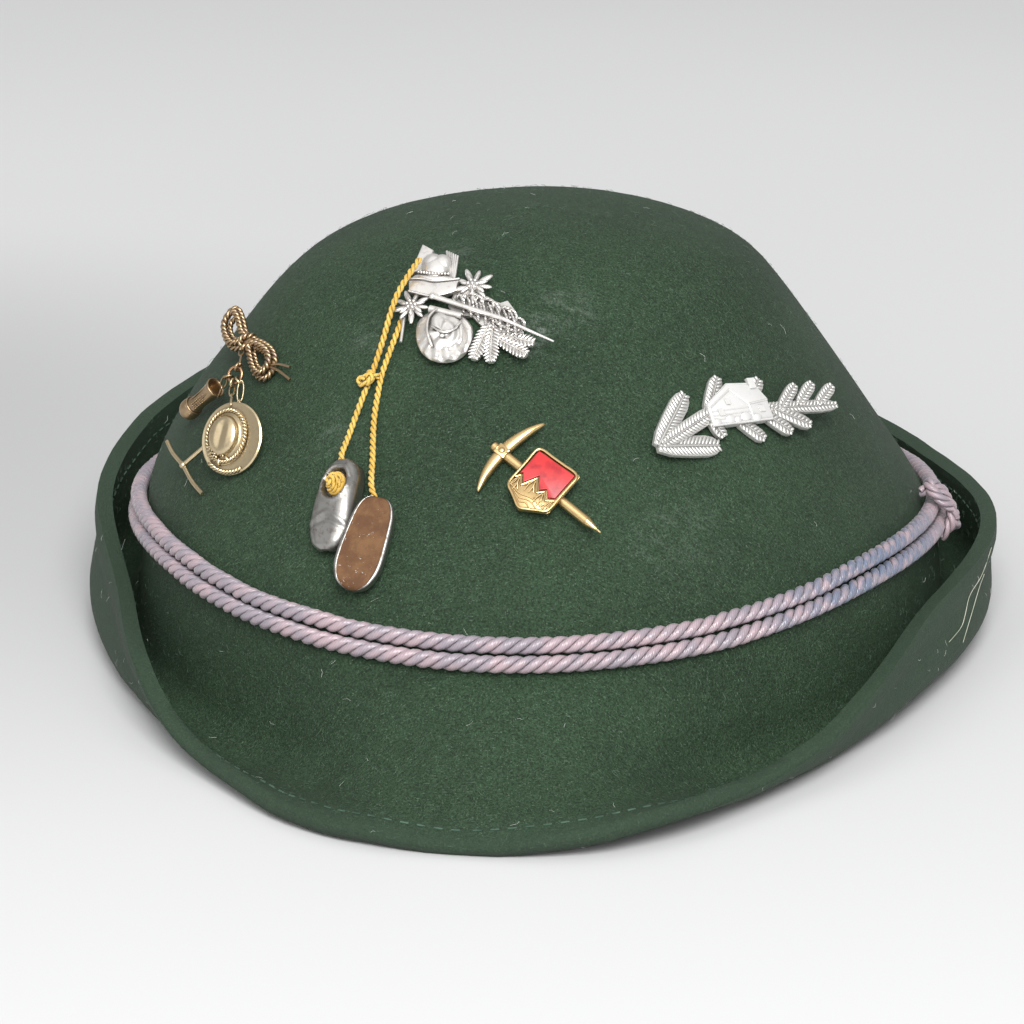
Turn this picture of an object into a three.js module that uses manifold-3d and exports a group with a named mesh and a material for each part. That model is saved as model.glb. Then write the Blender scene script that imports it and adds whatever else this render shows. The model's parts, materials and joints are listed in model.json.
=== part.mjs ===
// A green felt Tyrolean hat with a doubled cord round its crown and five metal pins on the front.
// Millimetres, +Z up, the front of the hat towards -Y, resting on its brim at z = 0.

import * as THREE from "three";
import { mergeVertices } from "three/addons/utils/BufferGeometryUtils.js";
import Module from "manifold-3d";

const wasm = await Module();
wasm.setup();

// Head opening and felt
const headWidth = 166;
const headLength = 200;
const frontShare = 0.5;
const feltWall = 2;
const hemWall = 3.4;
const hemDepth = 8;

// Crown and brim
const crownHeight = 70;
const peakForward = 12;
const brimWidth = 46;
const floorPress = 0.8;

// Cord round the crown and its knot
const cordDiameter = 3.3;
const knotDiameter = 5.6;

// Clearance between pieces, and what holds a pin to the felt
const seatGap = 0.3;
const pinGap = 0.5;
const postDiameter = 1.4;
const clutchDiameter = 7;
const clutchThickness = 2;
const clutchGap = 0.6;

// Pins: overall length and metal thickness
const bowSpan = 27;
const ropeDiameter = 1.7;
const trophySpan = 33;
const trophyPlate = 1.2;
const pickaxeSpan = 27;
const handleDiameter = 2;
const trayFloor = 0.5;
const trayRim = 0.5;
const enamelDepth = 0.6;
const firSpan = 48;
const firPlate = 1.2;

// Jump ring and its charms
const ringDiameter = 3.4;
const ringWire = 0.6;
const eyeDiameter = 1.7;
const eyeWire = 0.5;
const linkWire = 0.6;
const slipperDiameter = 4;
const medallionDiameter = 15;
const medallionPlate = 0.8;
const toolWire = 1;

// Yellow cord and its clogs
const yellowDiameter = 1.3;
const yellowKnot = 3.4;
const clogLength = 19.5;
const clogWidth = 9.4;
const clogHeight = 5;

// Mesh fineness
const aroundSteps = 56;
const crownSteps = 10;
const brimSteps = 9;
const cordSides = 8;
const cordSteps = 56;
const roundSides = 8;

const deg = Math.PI / 180;

// Crown outline from the brim up. rise is a share of crownHeight; right (+X) and left (-X) are
// shares of the opening's outer half width, front and back of its front and back half lengths.
const crownRows = [
  { rise: 0.0, right: 1.0, left: 1.0, front: 1.0, back: 1.0 },
  { rise: 0.14, right: 0.94, left: 0.98, front: 0.93, back: 0.975 },
  { rise: 0.28, right: 0.86, left: 0.93, front: 0.84, back: 0.93 },
  { rise: 0.43, right: 0.775, left: 0.85, front: 0.73, back: 0.86 },
  { rise: 0.58, right: 0.69, left: 0.755, front: 0.615, back: 0.775 },
  { rise: 0.72, right: 0.61, left: 0.665, front: 0.5, back: 0.675 },
  { rise: 0.83, right: 0.535, left: 0.57, front: 0.4, back: 0.555 },
  { rise: 0.905, right: 0.43, left: 0.455, front: 0.31, back: 0.43 },
  { rise: 0.955, right: 0.29, left: 0.3, front: 0.215, back: 0.3 },
  { rise: 0.985, right: 0.15, left: 0.15, front: 0.12, back: 0.16 },
  { rise: 1.0, right: 0.0, left: 0.0, front: 0.0, back: 0.0 },
];

// Brim every 30 degrees from the front towards +X. width is a share of brimWidth and lift a
// share of it too, the height of the bend at the crown. near and far are the slopes in degrees
// beside the crown and at the edge, and roll and span say where and how softly one turns into
// the other, as shares of the width.
const brimRows = [
  { at: 0, width: 0.845, lift: 0.58, near: -35, far: -31, roll: 0.5, span: 0.6 },
  { at: 30, width: 0.81, lift: 0.605, near: -76, far: 60, roll: 0.715, span: 0.55 },
  { at: 60, width: 0.86, lift: 0.65, near: -84, far: 105, roll: 0.62, span: 0.36 },
  { at: 90, width: 0.94, lift: 0.56, near: -84, far: 94, roll: 0.5, span: 0.42 },
  { at: 120, width: 0.79, lift: 0.43, near: -80, far: 103, roll: 0.445, span: 0.45 },
  { at: 150, width: 0.81, lift: 0.3, near: -75, far: 94, roll: 0.33, span: 0.45 },
  { at: 180, width: 0.92, lift: 0.24, near: -72, far: 92, roll: 0.25, span: 0.42 },
  { at: 210, width: 1.02, lift: 0.3, near: -75, far: 92, roll: 0.28, span: 0.4 },
  { at: 240, width: 1.06, lift: 0.43, near: -80, far: 94, roll: 0.34, span: 0.4 },
  { at: 270, width: 1.04, lift: 0.56, near: -82, far: 100, roll: 0.47, span: 0.42 },
  { at: 300, width: 0.94, lift: 0.65, near: -84, far: 106, roll: 0.62, span: 0.34 },
  { at: 330, width: 0.83, lift: 0.605, near: -80, far: 42, roll: 0.68, span: 0.55 },
];

// Places on the crown: angle in degrees from the front towards +X, height as a share of the way
// from the bend to the top, and off, the distance off the felt in millimetres.
const places = {
  bow: { angle: -61.2, height: 0.414, off: 4.3 },
  trophy: { angle: -10, height: 0.6, off: pinGap },
  pickaxe: { angle: -0.6, height: 0.345, off: pinGap },
  fir: { angle: 43, height: 0.36, off: pinGap },
  ring: { angle: -55.3, height: 0.359, off: 5 },
  slipperToe: { angle: -65.3, height: 0.259, off: 3.6 },
  slipperMouth: { angle: -59.4, height: 0.327, off: 4.2 },
  medallion: { angle: -48, height: 0.272, off: 3.8 },
  toolHead: { angle: -57.5, height: 0.193, off: 2.9 },
  toolTip: { angle: -51.4, height: 0.17, off: 1.1 },
  toolEnd: { angle: -52.6, height: 0.305, off: 1 },
  clogLeft: { angle: -24.6, height: 0.232, off: 3.4 },
  clogRight: { angle: -18.4, height: 0.181, off: 3.2 },
};

// Lumps of the knot at the wearer's left: distance above the bend and off the felt as shares of
// cordDiameter, and size as a share of knotDiameter
const knotLumps = [
  { angle: 82.2, above: 1.5, off: 1.46, size: 1 },
  { angle: 84.4, above: 2.1, off: 1.35, size: 0.85 },
  { angle: 83.6, above: 0.8, off: 1.6, size: 0.65 },
  { angle: 84.4, above: 0.2, off: 1.5, size: 0.55 },
];

// Routes of the two yellow strands from the pin to the clogs
const leftRoute = [
  { angle: -27.7, height: 0.666, off: 5.2 },
  { angle: -27.3, height: 0.625, off: 5.3 },
  { angle: -27.2, height: 0.583, off: 5.3 },
  { angle: -27.3, height: 0.548, off: 4.4 },
  { angle: -27.7, height: 0.503, off: 2.2 },
  { angle: -27.9, height: 0.462, off: 1.05 },
  { angle: -27.8, height: 0.433, off: 1.05 },
  { angle: -27.8, height: 0.394, off: 1.05 },
  { angle: -27.3, height: 0.344, off: 1.6 },
  { angle: -26.3, height: 0.304, off: 3.4 },
];
const rightRoute = [
  { angle: -26.3, height: 0.552, off: 1.05 },
  { angle: -26.0, height: 0.521, off: 1.05 },
  { angle: -25.8, height: 0.482, off: 1.05 },
  { angle: -25.7, height: 0.448, off: 1.05 },
  { angle: -25.2, height: 0.42, off: 1.05 },
  { angle: -23.9, height: 0.37, off: 1.05 },
  { angle: -21.6, height: 0.315, off: 1.9 },
  { angle: -19.8, height: 0.268, off: 3.2 },
];

// Directions in which the bow and the charms face: azimuth from the front and elevation, degrees
const bowFacing = { azimuth: -42, elevation: 33 };
const charmFacing = { azimuth: -30, elevation: 24 };

// Smooth value of one column at place x along evenly spaced rows.
function along(rows, key, x, closed) {
  const count = rows.length;
  const wrap = (i) => ((i % count) + count) % count;
  const clamp = (i) => Math.min(count - 1, Math.max(0, i));
  const pick = (i) => rows[closed ? wrap(i) : clamp(i)][key];
  const i = Math.floor(x);
  const f = x - i;
  const [a, b, c, d] = [pick(i - 1), pick(i), pick(i + 1), pick(i + 2)];
  return b + 0.5 * f * (c - a + f * (2 * a - 5 * b + 4 * c - d + f * (3 * (b - c) + d - a)));
}

const smooth = (x) => {
  const s = Math.min(1, Math.max(0, x));
  return s * s * (3 - 2 * s);
};

const halfWidth = headWidth / 2 + feltWall;
const halfFront = headLength * frontShare + feltWall;
const halfBack = headLength * (1 - frontShare) + feltWall;
const brimAt = (t, key) => along(brimRows, key, (t / (2 * Math.PI)) * brimRows.length, true);
const bendHeight = (t) => brimAt(t, "lift") * brimWidth;

// Outer face of the crown: t is the angle from the front, u runs from 0 at the brim to 1 at the top.
function crownPoint(t, u) {
  const x = u * (crownRows.length - 1);
  const ahead = Math.cos(t) > 0;
  const reach = (ahead ? halfFront : halfBack) * along(crownRows, ahead ? "front" : "back", x);
  const side = along(crownRows, Math.sin(t) > 0 ? "right" : "left", x);
  const rise = along(crownRows, "rise", x);
  const top = bendHeight(0) + crownHeight;
  const low = bendHeight(t);
  return new THREE.Vector3(
    halfWidth * side * Math.sin(t),
    -reach * Math.cos(t) - peakForward * rise * rise,
    low + (top - low) * rise,
  );
}

// Upper face of the brim: v runs from 0 at the crown to 1 at the edge.
function brimPoint(t, v) {
  const base = crownPoint(t, 0);
  const reach = Math.cos(t) > 0 ? halfFront : halfBack;
  const out = new THREE.Vector3(Math.sin(t) / halfWidth, -Math.cos(t) / reach, 0).normalize();
  const width = brimAt(t, "width") * brimWidth;
  const roll = brimAt(t, "roll");
  const span = brimAt(t, "span");
  const near = brimAt(t, "near") * deg;
  const far = brimAt(t, "far") * deg;
  const slices = 24;
  let reachOut = 0;
  let climb = 0;
  for (let i = 0; i < slices; i += 1) {
    const s = ((i + 0.5) / slices) * v;
    const slope = near + (far - near) * smooth((s - roll) / span + 0.5);
    reachOut += (Math.cos(slope) * v * width) / slices;
    climb += (Math.sin(slope) * v * width) / slices;
  }
  return base.addScaledVector(out, reachOut).add(new THREE.Vector3(0, 0, climb));
}

// Solids and geometries

// Solid of a closed geometry, for joining and cutting.
function solidOf(geometry) {
  const bare = geometry.clone();
  bare.deleteAttribute("normal");
  bare.deleteAttribute("uv");
  const merged = mergeVertices(bare);
  const vertProperties = merged.getAttribute("position").array;
  const triVerts = Uint32Array.from(merged.index.array);
  return new wasm.Manifold(new wasm.Mesh({ numProp: 3, vertProperties, triVerts }));
}

// Geometry of a solid.
function geometryOf(solid) {
  const mesh = solid.getMesh();
  const geometry = new THREE.BufferGeometry();
  geometry.setAttribute("position", new THREE.BufferAttribute(mesh.vertProperties, 3));
  geometry.setIndex(new THREE.BufferAttribute(mesh.triVerts, 1));
  geometry.computeVertexNormals();
  return geometry;
}

const join = (geometries) => geometryOf(geometries.map(solidOf).reduce((a, b) => a.add(b)));

const cut = (geometry, tools) =>
  geometryOf(tools.map(solidOf).reduce((a, b) => a.subtract(b), solidOf(geometry)));

// Flat plate from an outline of [x, y] points in the given unit.
function plate(points, unit, back, depth) {
  const shape = new THREE.Shape(points.map(([x, y]) => new THREE.Vector2(x * unit, y * unit)));
  const geometry = new THREE.ExtrudeGeometry(shape, { depth, bevelEnabled: false });
  return geometry.translate(0, 0, back);
}

// Round bar between two points, which may taper.
function rod(from, to, radius, farRadius = radius, sides = 6) {
  const axis = to.clone().sub(from);
  const geometry = new THREE.CylinderGeometry(farRadius, radius, axis.length(), sides);
  const upright = new THREE.Vector3(0, 1, 0);
  const turn = new THREE.Quaternion().setFromUnitVectors(upright, axis.normalize());
  const middle = from.clone().add(to).multiplyScalar(0.5);
  return geometry.applyQuaternion(turn).translate(middle.x, middle.y, middle.z);
}

// Ellipsoid with three half sizes.
function pebble(x, y, z, halfX, halfY, halfZ, sides = 8, rings = 6) {
  return new THREE.SphereGeometry(1, sides, rings).scale(halfX, halfY, halfZ).translate(x, y, z);
}

// Tube of one diameter along a smooth route, open at its ends or closed on itself.
function cordAlong(points, diameter, steps, sides) {
  const corners = Array.from({ length: sides }, (_, i) => {
    const a = (2 * Math.PI * i) / sides;
    return new THREE.Vector2((Math.cos(a) * diameter) / 2, (Math.sin(a) * diameter) / 2);
  });
  const extrudePath = new THREE.CatmullRomCurve3(points);
  return new THREE.ExtrudeGeometry(new THREE.Shape(corners), { steps, extrudePath });
}

// Closed body through sections across Y. Each row has its place along Y, its half width, and the
// heights of its bottom and top, all as shares of the length, width and height; bottoms are flat.
function loft(rows, length, width, height, sides, flat) {
  const vertices = [];
  const triangles = [];
  for (const row of rows) {
    const middle = (row.low + row.high) / 2;
    const half = (row.high - row.low) / 2;
    for (let i = 0; i < sides; i += 1) {
      const a = (2 * Math.PI * (i + 0.5)) / sides;
      const z = Math.max(middle - half * flat, middle + half * Math.sin(a));
      vertices.push(row.wide * width * Math.cos(a), row.along * length, z * height);
    }
  }
  const last = (rows.length - 1) * sides;
  for (let i = 0; i < sides; i += 1) {
    const k = (i + 1) % sides;
    for (let row = 0; row < last; row += sides) {
      triangles.push(row + i, row + sides + i, row + sides + k);
      triangles.push(row + i, row + sides + k, row + k);
    }
  }
  for (let i = 1; i < sides - 1; i += 1) {
    triangles.push(0, i, i + 1);
    triangles.push(last, last + i + 1, last + i);
  }
  const geometry = new THREE.BufferGeometry();
  geometry.setAttribute("position", new THREE.Float32BufferAttribute(vertices, 3));
  geometry.setIndex(triangles);
  return geometry;
}

// Frames on the crown

// Frame that touches the crown: x to the right along the felt, y up along it, z off it.
function crownFrame(place) {
  const t = place.angle * deg;
  const step = 0.01;
  const origin = crownPoint(t, place.height);
  const round = crownPoint(t + step, place.height).sub(crownPoint(t - step, place.height));
  const rise = crownPoint(t, place.height + step).sub(crownPoint(t, place.height - step));
  const out = round.cross(rise).normalize();
  const right = new THREE.Vector3(0, 0, 1).cross(out).normalize();
  const up = out.clone().cross(right);
  origin.addScaledVector(out, place.off);
  return new THREE.Matrix4().makeBasis(right, up, out).setPosition(origin);
}

const onCrown = (place) => new THREE.Vector3().setFromMatrixPosition(crownFrame(place));

// Frame at a point, with z in a direction given by azimuth and elevation and y upwards.
function facingFrame(point, facing) {
  const azimuth = facing.azimuth * deg;
  const elevation = facing.elevation * deg;
  const flat = Math.cos(elevation);
  const out = new THREE.Vector3(Math.sin(azimuth) * flat, -Math.cos(azimuth) * flat, Math.sin(elevation));
  const right = new THREE.Vector3(Math.cos(azimuth), Math.sin(azimuth), 0);
  return new THREE.Matrix4().makeBasis(right, out.clone().cross(right), out).setPosition(point);
}

// Frame turned about its own z, in degrees counterclockwise.
const turned = (frame, angle) => frame.clone().multiply(new THREE.Matrix4().makeRotationZ(angle * deg));

const hat = new THREE.Group();

// Named piece in a frame, with its colour, roughness and metalness.
function addPiece(name, geometry, color, roughness, metalness, frame = new THREE.Matrix4()) {
  const mesh = new THREE.Mesh(geometry, new THREE.MeshStandardMaterial({ color, roughness, metalness }));
  mesh.name = name;
  frame.decompose(mesh.position, mesh.quaternion, mesh.scale);
  hat.add(mesh);
}

const antiqueBrass = [0x7a6238, 0.4, 0.9];
const brightPewter = [0xc9c6c2, 0.35, 0.9];
const dullPewter = [0x77777a, 0.5, 0.85];
const gold = [0xd9b366, 0.3, 0.95];
const mauve = [0x9c8b96, 0.6, 0];
const yellow = [0xd6a92b, 0.6, 0];

// Felt

// Closed felt shell from rings of upper points and their thickness, pressed flat on the floor.
function feltShell() {
  const rings = [];
  for (let i = crownSteps - 1; i >= 0; i -= 1) {
    rings.push({ point: (t) => crownPoint(t, i / crownSteps), wall: feltWall });
  }
  for (let i = 1; i <= brimSteps; i += 1) {
    const v = i / brimSteps;
    const wall = feltWall + (hemWall - feltWall) * smooth((v - 1 + hemDepth / brimWidth) * 8);
    rings.push({ point: (t) => brimPoint(t, v), wall });
  }
  const at = (j) => (2 * Math.PI * j) / aroundSteps;
  const grid = rings.map((ring) => Array.from({ length: aroundSteps }, (_, j) => ring.point(at(j))));
  const top = crownPoint(0, 1);
  const below = grid.map((row, i) =>
    row.map((p, j) => {
      const up = i > 0 ? grid[i - 1][j] : top;
      const down = i < grid.length - 1 ? grid[i + 1][j] : p;
      const left = row[(j + aroundSteps - 1) % aroundSteps];
      const right = row[(j + 1) % aroundSteps];
      const normal = down.clone().sub(up).cross(right.clone().sub(left)).normalize();
      return p.clone().addScaledVector(normal, -rings[i].wall);
    }),
  );
  const heights = below.flat().map((p) => p.z);
  const floor = Math.min(...heights) + floorPress;
  const vertices = [];
  const triangles = [];
  const add = (p) => vertices.push(p.x, p.y, p.z) / 3 - 1;
  const pressed = (p) => new THREE.Vector3(p.x, p.y, Math.max(p.z, floor));
  const upper = grid.map((row) => row.map(add));
  const lower = below.map((row) => row.map((p) => add(pressed(p))));
  const upperTop = add(top);
  const lowerTop = add(top.clone().add(new THREE.Vector3(0, 0, -feltWall)));
  const quad = (a, b, c, d) => triangles.push(a, b, c, a, c, d);
  for (let j = 0; j < aroundSteps; j += 1) {
    const k = (j + 1) % aroundSteps;
    triangles.push(upperTop, upper[0][j], upper[0][k]);
    triangles.push(lowerTop, lower[0][k], lower[0][j]);
    for (let i = 0; i < grid.length - 1; i += 1) {
      quad(upper[i][j], upper[i + 1][j], upper[i + 1][k], upper[i][k]);
      quad(lower[i][j], lower[i][k], lower[i + 1][k], lower[i + 1][j]);
    }
    const last = grid.length - 1;
    quad(upper[last][j], lower[last][j], lower[last][k], upper[last][k]);
  }
  const geometry = new THREE.BufferGeometry();
  geometry.setAttribute("position", new THREE.Float32BufferAttribute(vertices, 3));
  geometry.setIndex(triangles);
  return geometry;
}

// Bar along z of a place on the crown, from one distance off the felt to another.
function barThrough(place, from, to, diameter, sides = roundSides) {
  const frame = crownFrame({ ...place, off: 0 });
  const ends = [from, to].map((z) => new THREE.Vector3(0, 0, z).applyMatrix4(frame));
  return rod(ends[0], ends[1], diameter / 2, diameter / 2, sides);
}

const pinned = ["bow", "trophy", "pickaxe", "fir"];
const holeDepth = feltWall * 2;
const holes = pinned.map((name) =>
  barThrough(places[name], -holeDepth, holeDepth, postDiameter + 2 * seatGap, 6),
);
addPiece("felt_body", cut(feltShell(), holes), 0x1f3d28, 0.95, 0);

// Hidden post of each pin, with its clutch inside the crown. ropeHalf is half the depth of the
// bow's doubled rope.
const ropeHalf = ropeDiameter * 0.9;
const bowBack = places.bow.off - ropeHalf;
const pinBacks = { bow: bowBack, trophy: pinGap, pickaxe: pinGap, fir: pinGap };
for (const name of pinned) {
  const inner = -feltWall - clutchGap;
  const foot = inner - clutchThickness / 2;
  const shank = barThrough(places[name], foot, pinBacks[name] - seatGap, postDiameter, 6);
  const clutch = barThrough(places[name], inner - clutchThickness, inner, clutchDiameter);
  addPiece(`${name}_post`, join([shank, clutch]), 0xb8a878, 0.4, 0.9);
}

// Cord round the crown

// Share of the crown's height that lies this far up the felt from the bend.
function heightAbove(t, distance) {
  const step = 0.002;
  let height = 0;
  let left = distance;
  while (left > 0) {
    left -= crownPoint(t, height + step).distanceTo(crownPoint(t, height));
    height += step;
  }
  return height;
}

// Closed ring of cord that lies on the felt at a distance above the bend.
function bandRing(distance, diameter) {
  const points = Array.from({ length: aroundSteps }, (_, j) => {
    const t = (2 * Math.PI * j) / aroundSteps;
    return onCrown({ angle: t / deg, height: heightAbove(t, distance), off: cordDiameter / 2 + seatGap });
  });
  const route = new THREE.CatmullRomCurve3(points, true);
  return new THREE.TubeGeometry(route, cordSteps, diameter / 2, cordSides, true);
}

const lowerBand = cordDiameter / 2 + seatGap;
const upperBand = lowerBand + cordDiameter + seatGap;
addPiece("band_cord_lower", geometryOf(solidOf(bandRing(lowerBand, cordDiameter))), ...mauve);
addPiece("band_cord_upper", geometryOf(solidOf(bandRing(upperBand, cordDiameter))), ...mauve);

const knotForm = knotLumps.map(({ angle, above, off, size }) => {
  const height = heightAbove(angle * deg, above * cordDiameter);
  const middle = onCrown({ angle, height, off: off * cordDiameter });
  const half = (knotDiameter / 2) * size;
  return pebble(middle.x, middle.y, middle.z, half, half, half, 8, 5);
});
const slotDiameter = cordDiameter + 2 * seatGap;
const knotSlots = [lowerBand, upperBand].map((distance) => bandRing(distance, slotDiameter));
addPiece("band_knot", cut(join(knotForm), knotSlots), ...mauve);

// Charms on their jump ring

const ringRadius = ringDiameter / 2;
const ringFrame = facingFrame(onCrown(places.ring), charmFacing);
const ring = new THREE.TorusGeometry(ringRadius, ringWire / 2, 6, 12);
addPiece("charm_ring", geometryOf(solidOf(ring)), 0xb5793f, 0.35, 0.95, ringFrame);

// Point in the jump ring's plane, by its angle and its distance from the ring's centre.
function byRing(angle, distance) {
  const a = angle * deg;
  return new THREE.Vector3(Math.cos(a) * distance, Math.sin(a) * distance, 0).applyMatrix4(ringFrame);
}

// Small eye that the jump ring passes through, with a link from it to a point.
function eyeAndLink(angle, to) {
  const eye = new THREE.TorusGeometry(eyeDiameter / 2, eyeWire / 2, 5, 8);
  eye.rotateX(Math.PI / 2).translate(ringRadius, 0, 0).rotateZ(angle * deg).applyMatrix4(ringFrame);
  return [eye, rod(byRing(angle, ringRadius + eyeDiameter / 2), to, linkWire / 2)];
}

// Slipper, from its toe to its open mouth
const slipperRows = [
  { along: 0, wide: 0.2, low: -0.2, high: 0.2 },
  { along: 0.07, wide: 0.44, low: -0.42, high: 0.42 },
  { along: 0.2, wide: 0.5, low: -0.48, high: 0.48 },
  { along: 0.32, wide: 0.42, low: -0.42, high: 0.42 },
  { along: 0.7, wide: 0.44, low: -0.44, high: 0.44 },
  { along: 1.0, wide: 0.48, low: -0.48, high: 0.48 },
];
const slipperToe = onCrown(places.slipperToe);
const slipperMouth = onCrown(places.slipperMouth);
const slipperAxis = slipperMouth.clone().sub(slipperToe);
const slipperLength = slipperAxis.length();
slipperAxis.normalize();
const viewer = new THREE.Vector3().setFromMatrixColumn(ringFrame, 2);
const slipperSide = slipperAxis.clone().cross(viewer).normalize();
const slipperFrame = new THREE.Matrix4()
  .makeBasis(slipperSide, slipperAxis, slipperSide.clone().cross(slipperAxis))
  .setPosition(slipperToe);
const slipperForm = loft(slipperRows, slipperLength, slipperDiameter, slipperDiameter, 10, 1);
const slipperBore = slipperDiameter * 0.36;
const slipperHollow = pebble(0, slipperLength, 0, slipperBore, slipperLength * 0.2, slipperBore);
const slipperEdge = new THREE.Vector3(slipperDiameter * 0.42, slipperLength * 0.96, 0);
slipperEdge.applyMatrix4(slipperFrame);
const slipper = join([
  cut(slipperForm, [slipperHollow]).applyMatrix4(slipperFrame),
  ...eyeAndLink(205, slipperEdge),
]);
addPiece("charm_slipper", slipper, ...antiqueBrass);

// Small hat seen from above, on a round plate, with a rope round its dome and a few flowers
const medallionFrame = facingFrame(onCrown(places.medallion), charmFacing);
const medallionUnit = medallionDiameter / 100;
const medallionTop = new THREE.Vector3(-16 * medallionUnit, 45 * medallionUnit, 0);
medallionTop.applyMatrix4(medallionFrame);
const dome = { x: -9, y: 1, wide: 23, tall: 27, high: 16 };
const flowers = [
  { x: -24, y: -18, size: 7 },
  { x: -14, y: -25, size: 8 },
  { x: -3, y: -22, size: 6 },
];
const medallionForm = [
  new THREE.CylinderGeometry(50, 50, medallionPlate / medallionUnit, 16).rotateX(Math.PI / 2),
  pebble(dome.x, dome.y, 0, dome.wide, dome.tall, dome.high, 8, 4),
  new THREE.CylinderGeometry(34, 38, 8, 12).rotateX(Math.PI / 2).translate(-8, -1, 4),
  ...flowers.map(({ x, y, size }) => pebble(x, y, 8, size, size, size, 5, 3)),
];
for (const geometry of medallionForm) {
  geometry.scale(medallionUnit, medallionUnit, medallionUnit).applyMatrix4(medallionFrame);
}
addPiece("charm_hat", join([...medallionForm, ...eyeAndLink(270, medallionTop)]), ...antiqueBrass);

// Pickaxe: its handle lies behind the small hat and its straight head beside it
const toolHead = onCrown(places.toolHead);
const toolTip = onCrown(places.toolTip);
const toolOther = toolHead.clone().lerp(toolTip, -0.84);
const toolEnd = onCrown(places.toolEnd);
const tool = join([
  rod(toolTip, toolHead, toolWire * 0.35, toolWire * 0.6),
  rod(toolOther, toolHead, toolWire * 0.35, toolWire * 0.6),
  rod(toolHead, toolEnd, toolWire / 2),
  ...eyeAndLink(325, toolEnd),
]);
addPiece("charm_pickaxe", tool, ...antiqueBrass);

// Rope bow: an upright loop and a lower loop of doubled rope, a knot and two bare ends.
// Points are in hundredths of bowSpan.
const bowUnit = bowSpan / 100;
const uprightLoop = [
  [4, -2], [-8, -7], [-20, -3], [-29, 6], [-29, 16], [-23, 20], [-13, 14], [-4, 6], [6, 2],
];
const lowerLoop = [
  [5, 1], [18, 2], [32, -1], [40, -8], [41, -17], [36, -22], [26, -20], [16, -12], [7, -3],
];
const bowFrame = facingFrame(onCrown(places.bow), bowFacing);

// Doubled rope along a loop of points.
function doubledRope(points) {
  const corners = Array.from({ length: 6 }, (_, i) => {
    const a = (2 * Math.PI * i) / 6;
    return new THREE.Vector2((Math.cos(a) * ropeDiameter) / 2, Math.sin(a) * ropeHalf);
  });
  const route = points.map(([x, y]) => new THREE.Vector3(x * bowUnit, y * bowUnit, 0));
  const extrudePath = new THREE.CatmullRomCurve3(route);
  return new THREE.ExtrudeGeometry(new THREE.Shape(corners), { steps: 10, extrudePath });
}

const bowEnds = [
  { x: 61, y: -8 },
  { x: 67, y: -17 },
].map((end) =>
  rod(
    new THREE.Vector3(38 * bowUnit, -12 * bowUnit, 0),
    new THREE.Vector3(end.x * bowUnit, end.y * bowUnit, 0),
    linkWire / 2,
  ),
);
const bowBase = new THREE.Vector3(2 * bowUnit, -5 * bowUnit, 0).applyMatrix4(bowFrame);
const bowForm = [
  doubledRope(uprightLoop),
  doubledRope(lowerLoop),
  pebble(7 * bowUnit, -1 * bowUnit, 0, ropeDiameter * 1.3, ropeDiameter * 1.2, ropeHalf),
  ...bowEnds,
].map((geometry) => geometry.applyMatrix4(bowFrame));
addPiece("rope_bow", join([...bowForm, ...eyeAndLink(80, bowBase)]), ...antiqueBrass);

// Trophy pin. Outlines are in hundredths of trophySpan.
const trophyUnit = trophySpan / 100;
const trophyFrame = crownFrame(places.trophy);
const tabOutline = [[-42, 41], [-45, 19], [-35, 22], [-34, 37]];
const brushOutline = [[-27, 35], [-22, 21], [-17, 17], [-18, 28], [-20, 37]];
const bannerOutline = [
  [-46, 11], [-45, 5], [-41, 3], [-31, 1], [-22, 2],
  [-14, 7], [-12, 12], [-14, 16], [-29, 13], [-42, 15],
];
const packOutline = [
  [-25, -4], [-31, -10], [-33, -20], [-26, -33], [-18, -44],
  [-4, -43], [3, -28], [1, -16], [-8, -8], [-18, -8],
];
const netOutline = [
  [-15, 8], [-17, -3], [-12, -10], [-1, -9], [7, -16], [16, -25], [22, -28],
  [36, -20], [33, -14], [28, -3], [20, 6], [15, 2], [6, 4],
];
const sprigOutlines = [
  [[7, -14], [2, -26], [9, -42], [14, -39], [19, -41], [20, -29], [15, -20]],
  [[20, -24], [20, -31], [30, -33], [39, -35], [40, -29], [41, -23], [33, -19]],
];
const edelweiss = [
  { x: -4, y: 12, reach: 13 },
  { x: -39, y: -6, reach: 12 },
];

// Star-shaped flower with pointed petals round a small dome.
function flower({ x, y, reach }) {
  const petals = 8;
  const points = Array.from({ length: 2 * petals }, (_, i) => {
    const a = (Math.PI * i) / petals;
    const r = i % 2 ? reach * 0.55 : reach;
    return [x + r * Math.cos(a), y + r * Math.sin(a)];
  });
  const heart = reach * 0.35 * trophyUnit;
  return [
    plate(points, trophyUnit, trophyPlate * 0.4, trophyPlate),
    pebble(x * trophyUnit, y * trophyUnit, trophyPlate * 1.4, heart, heart, heart * 0.6, 8, 4),
  ];
}

const at = (x, y, z) => new THREE.Vector3(x * trophyUnit, y * trophyUnit, z);

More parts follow.
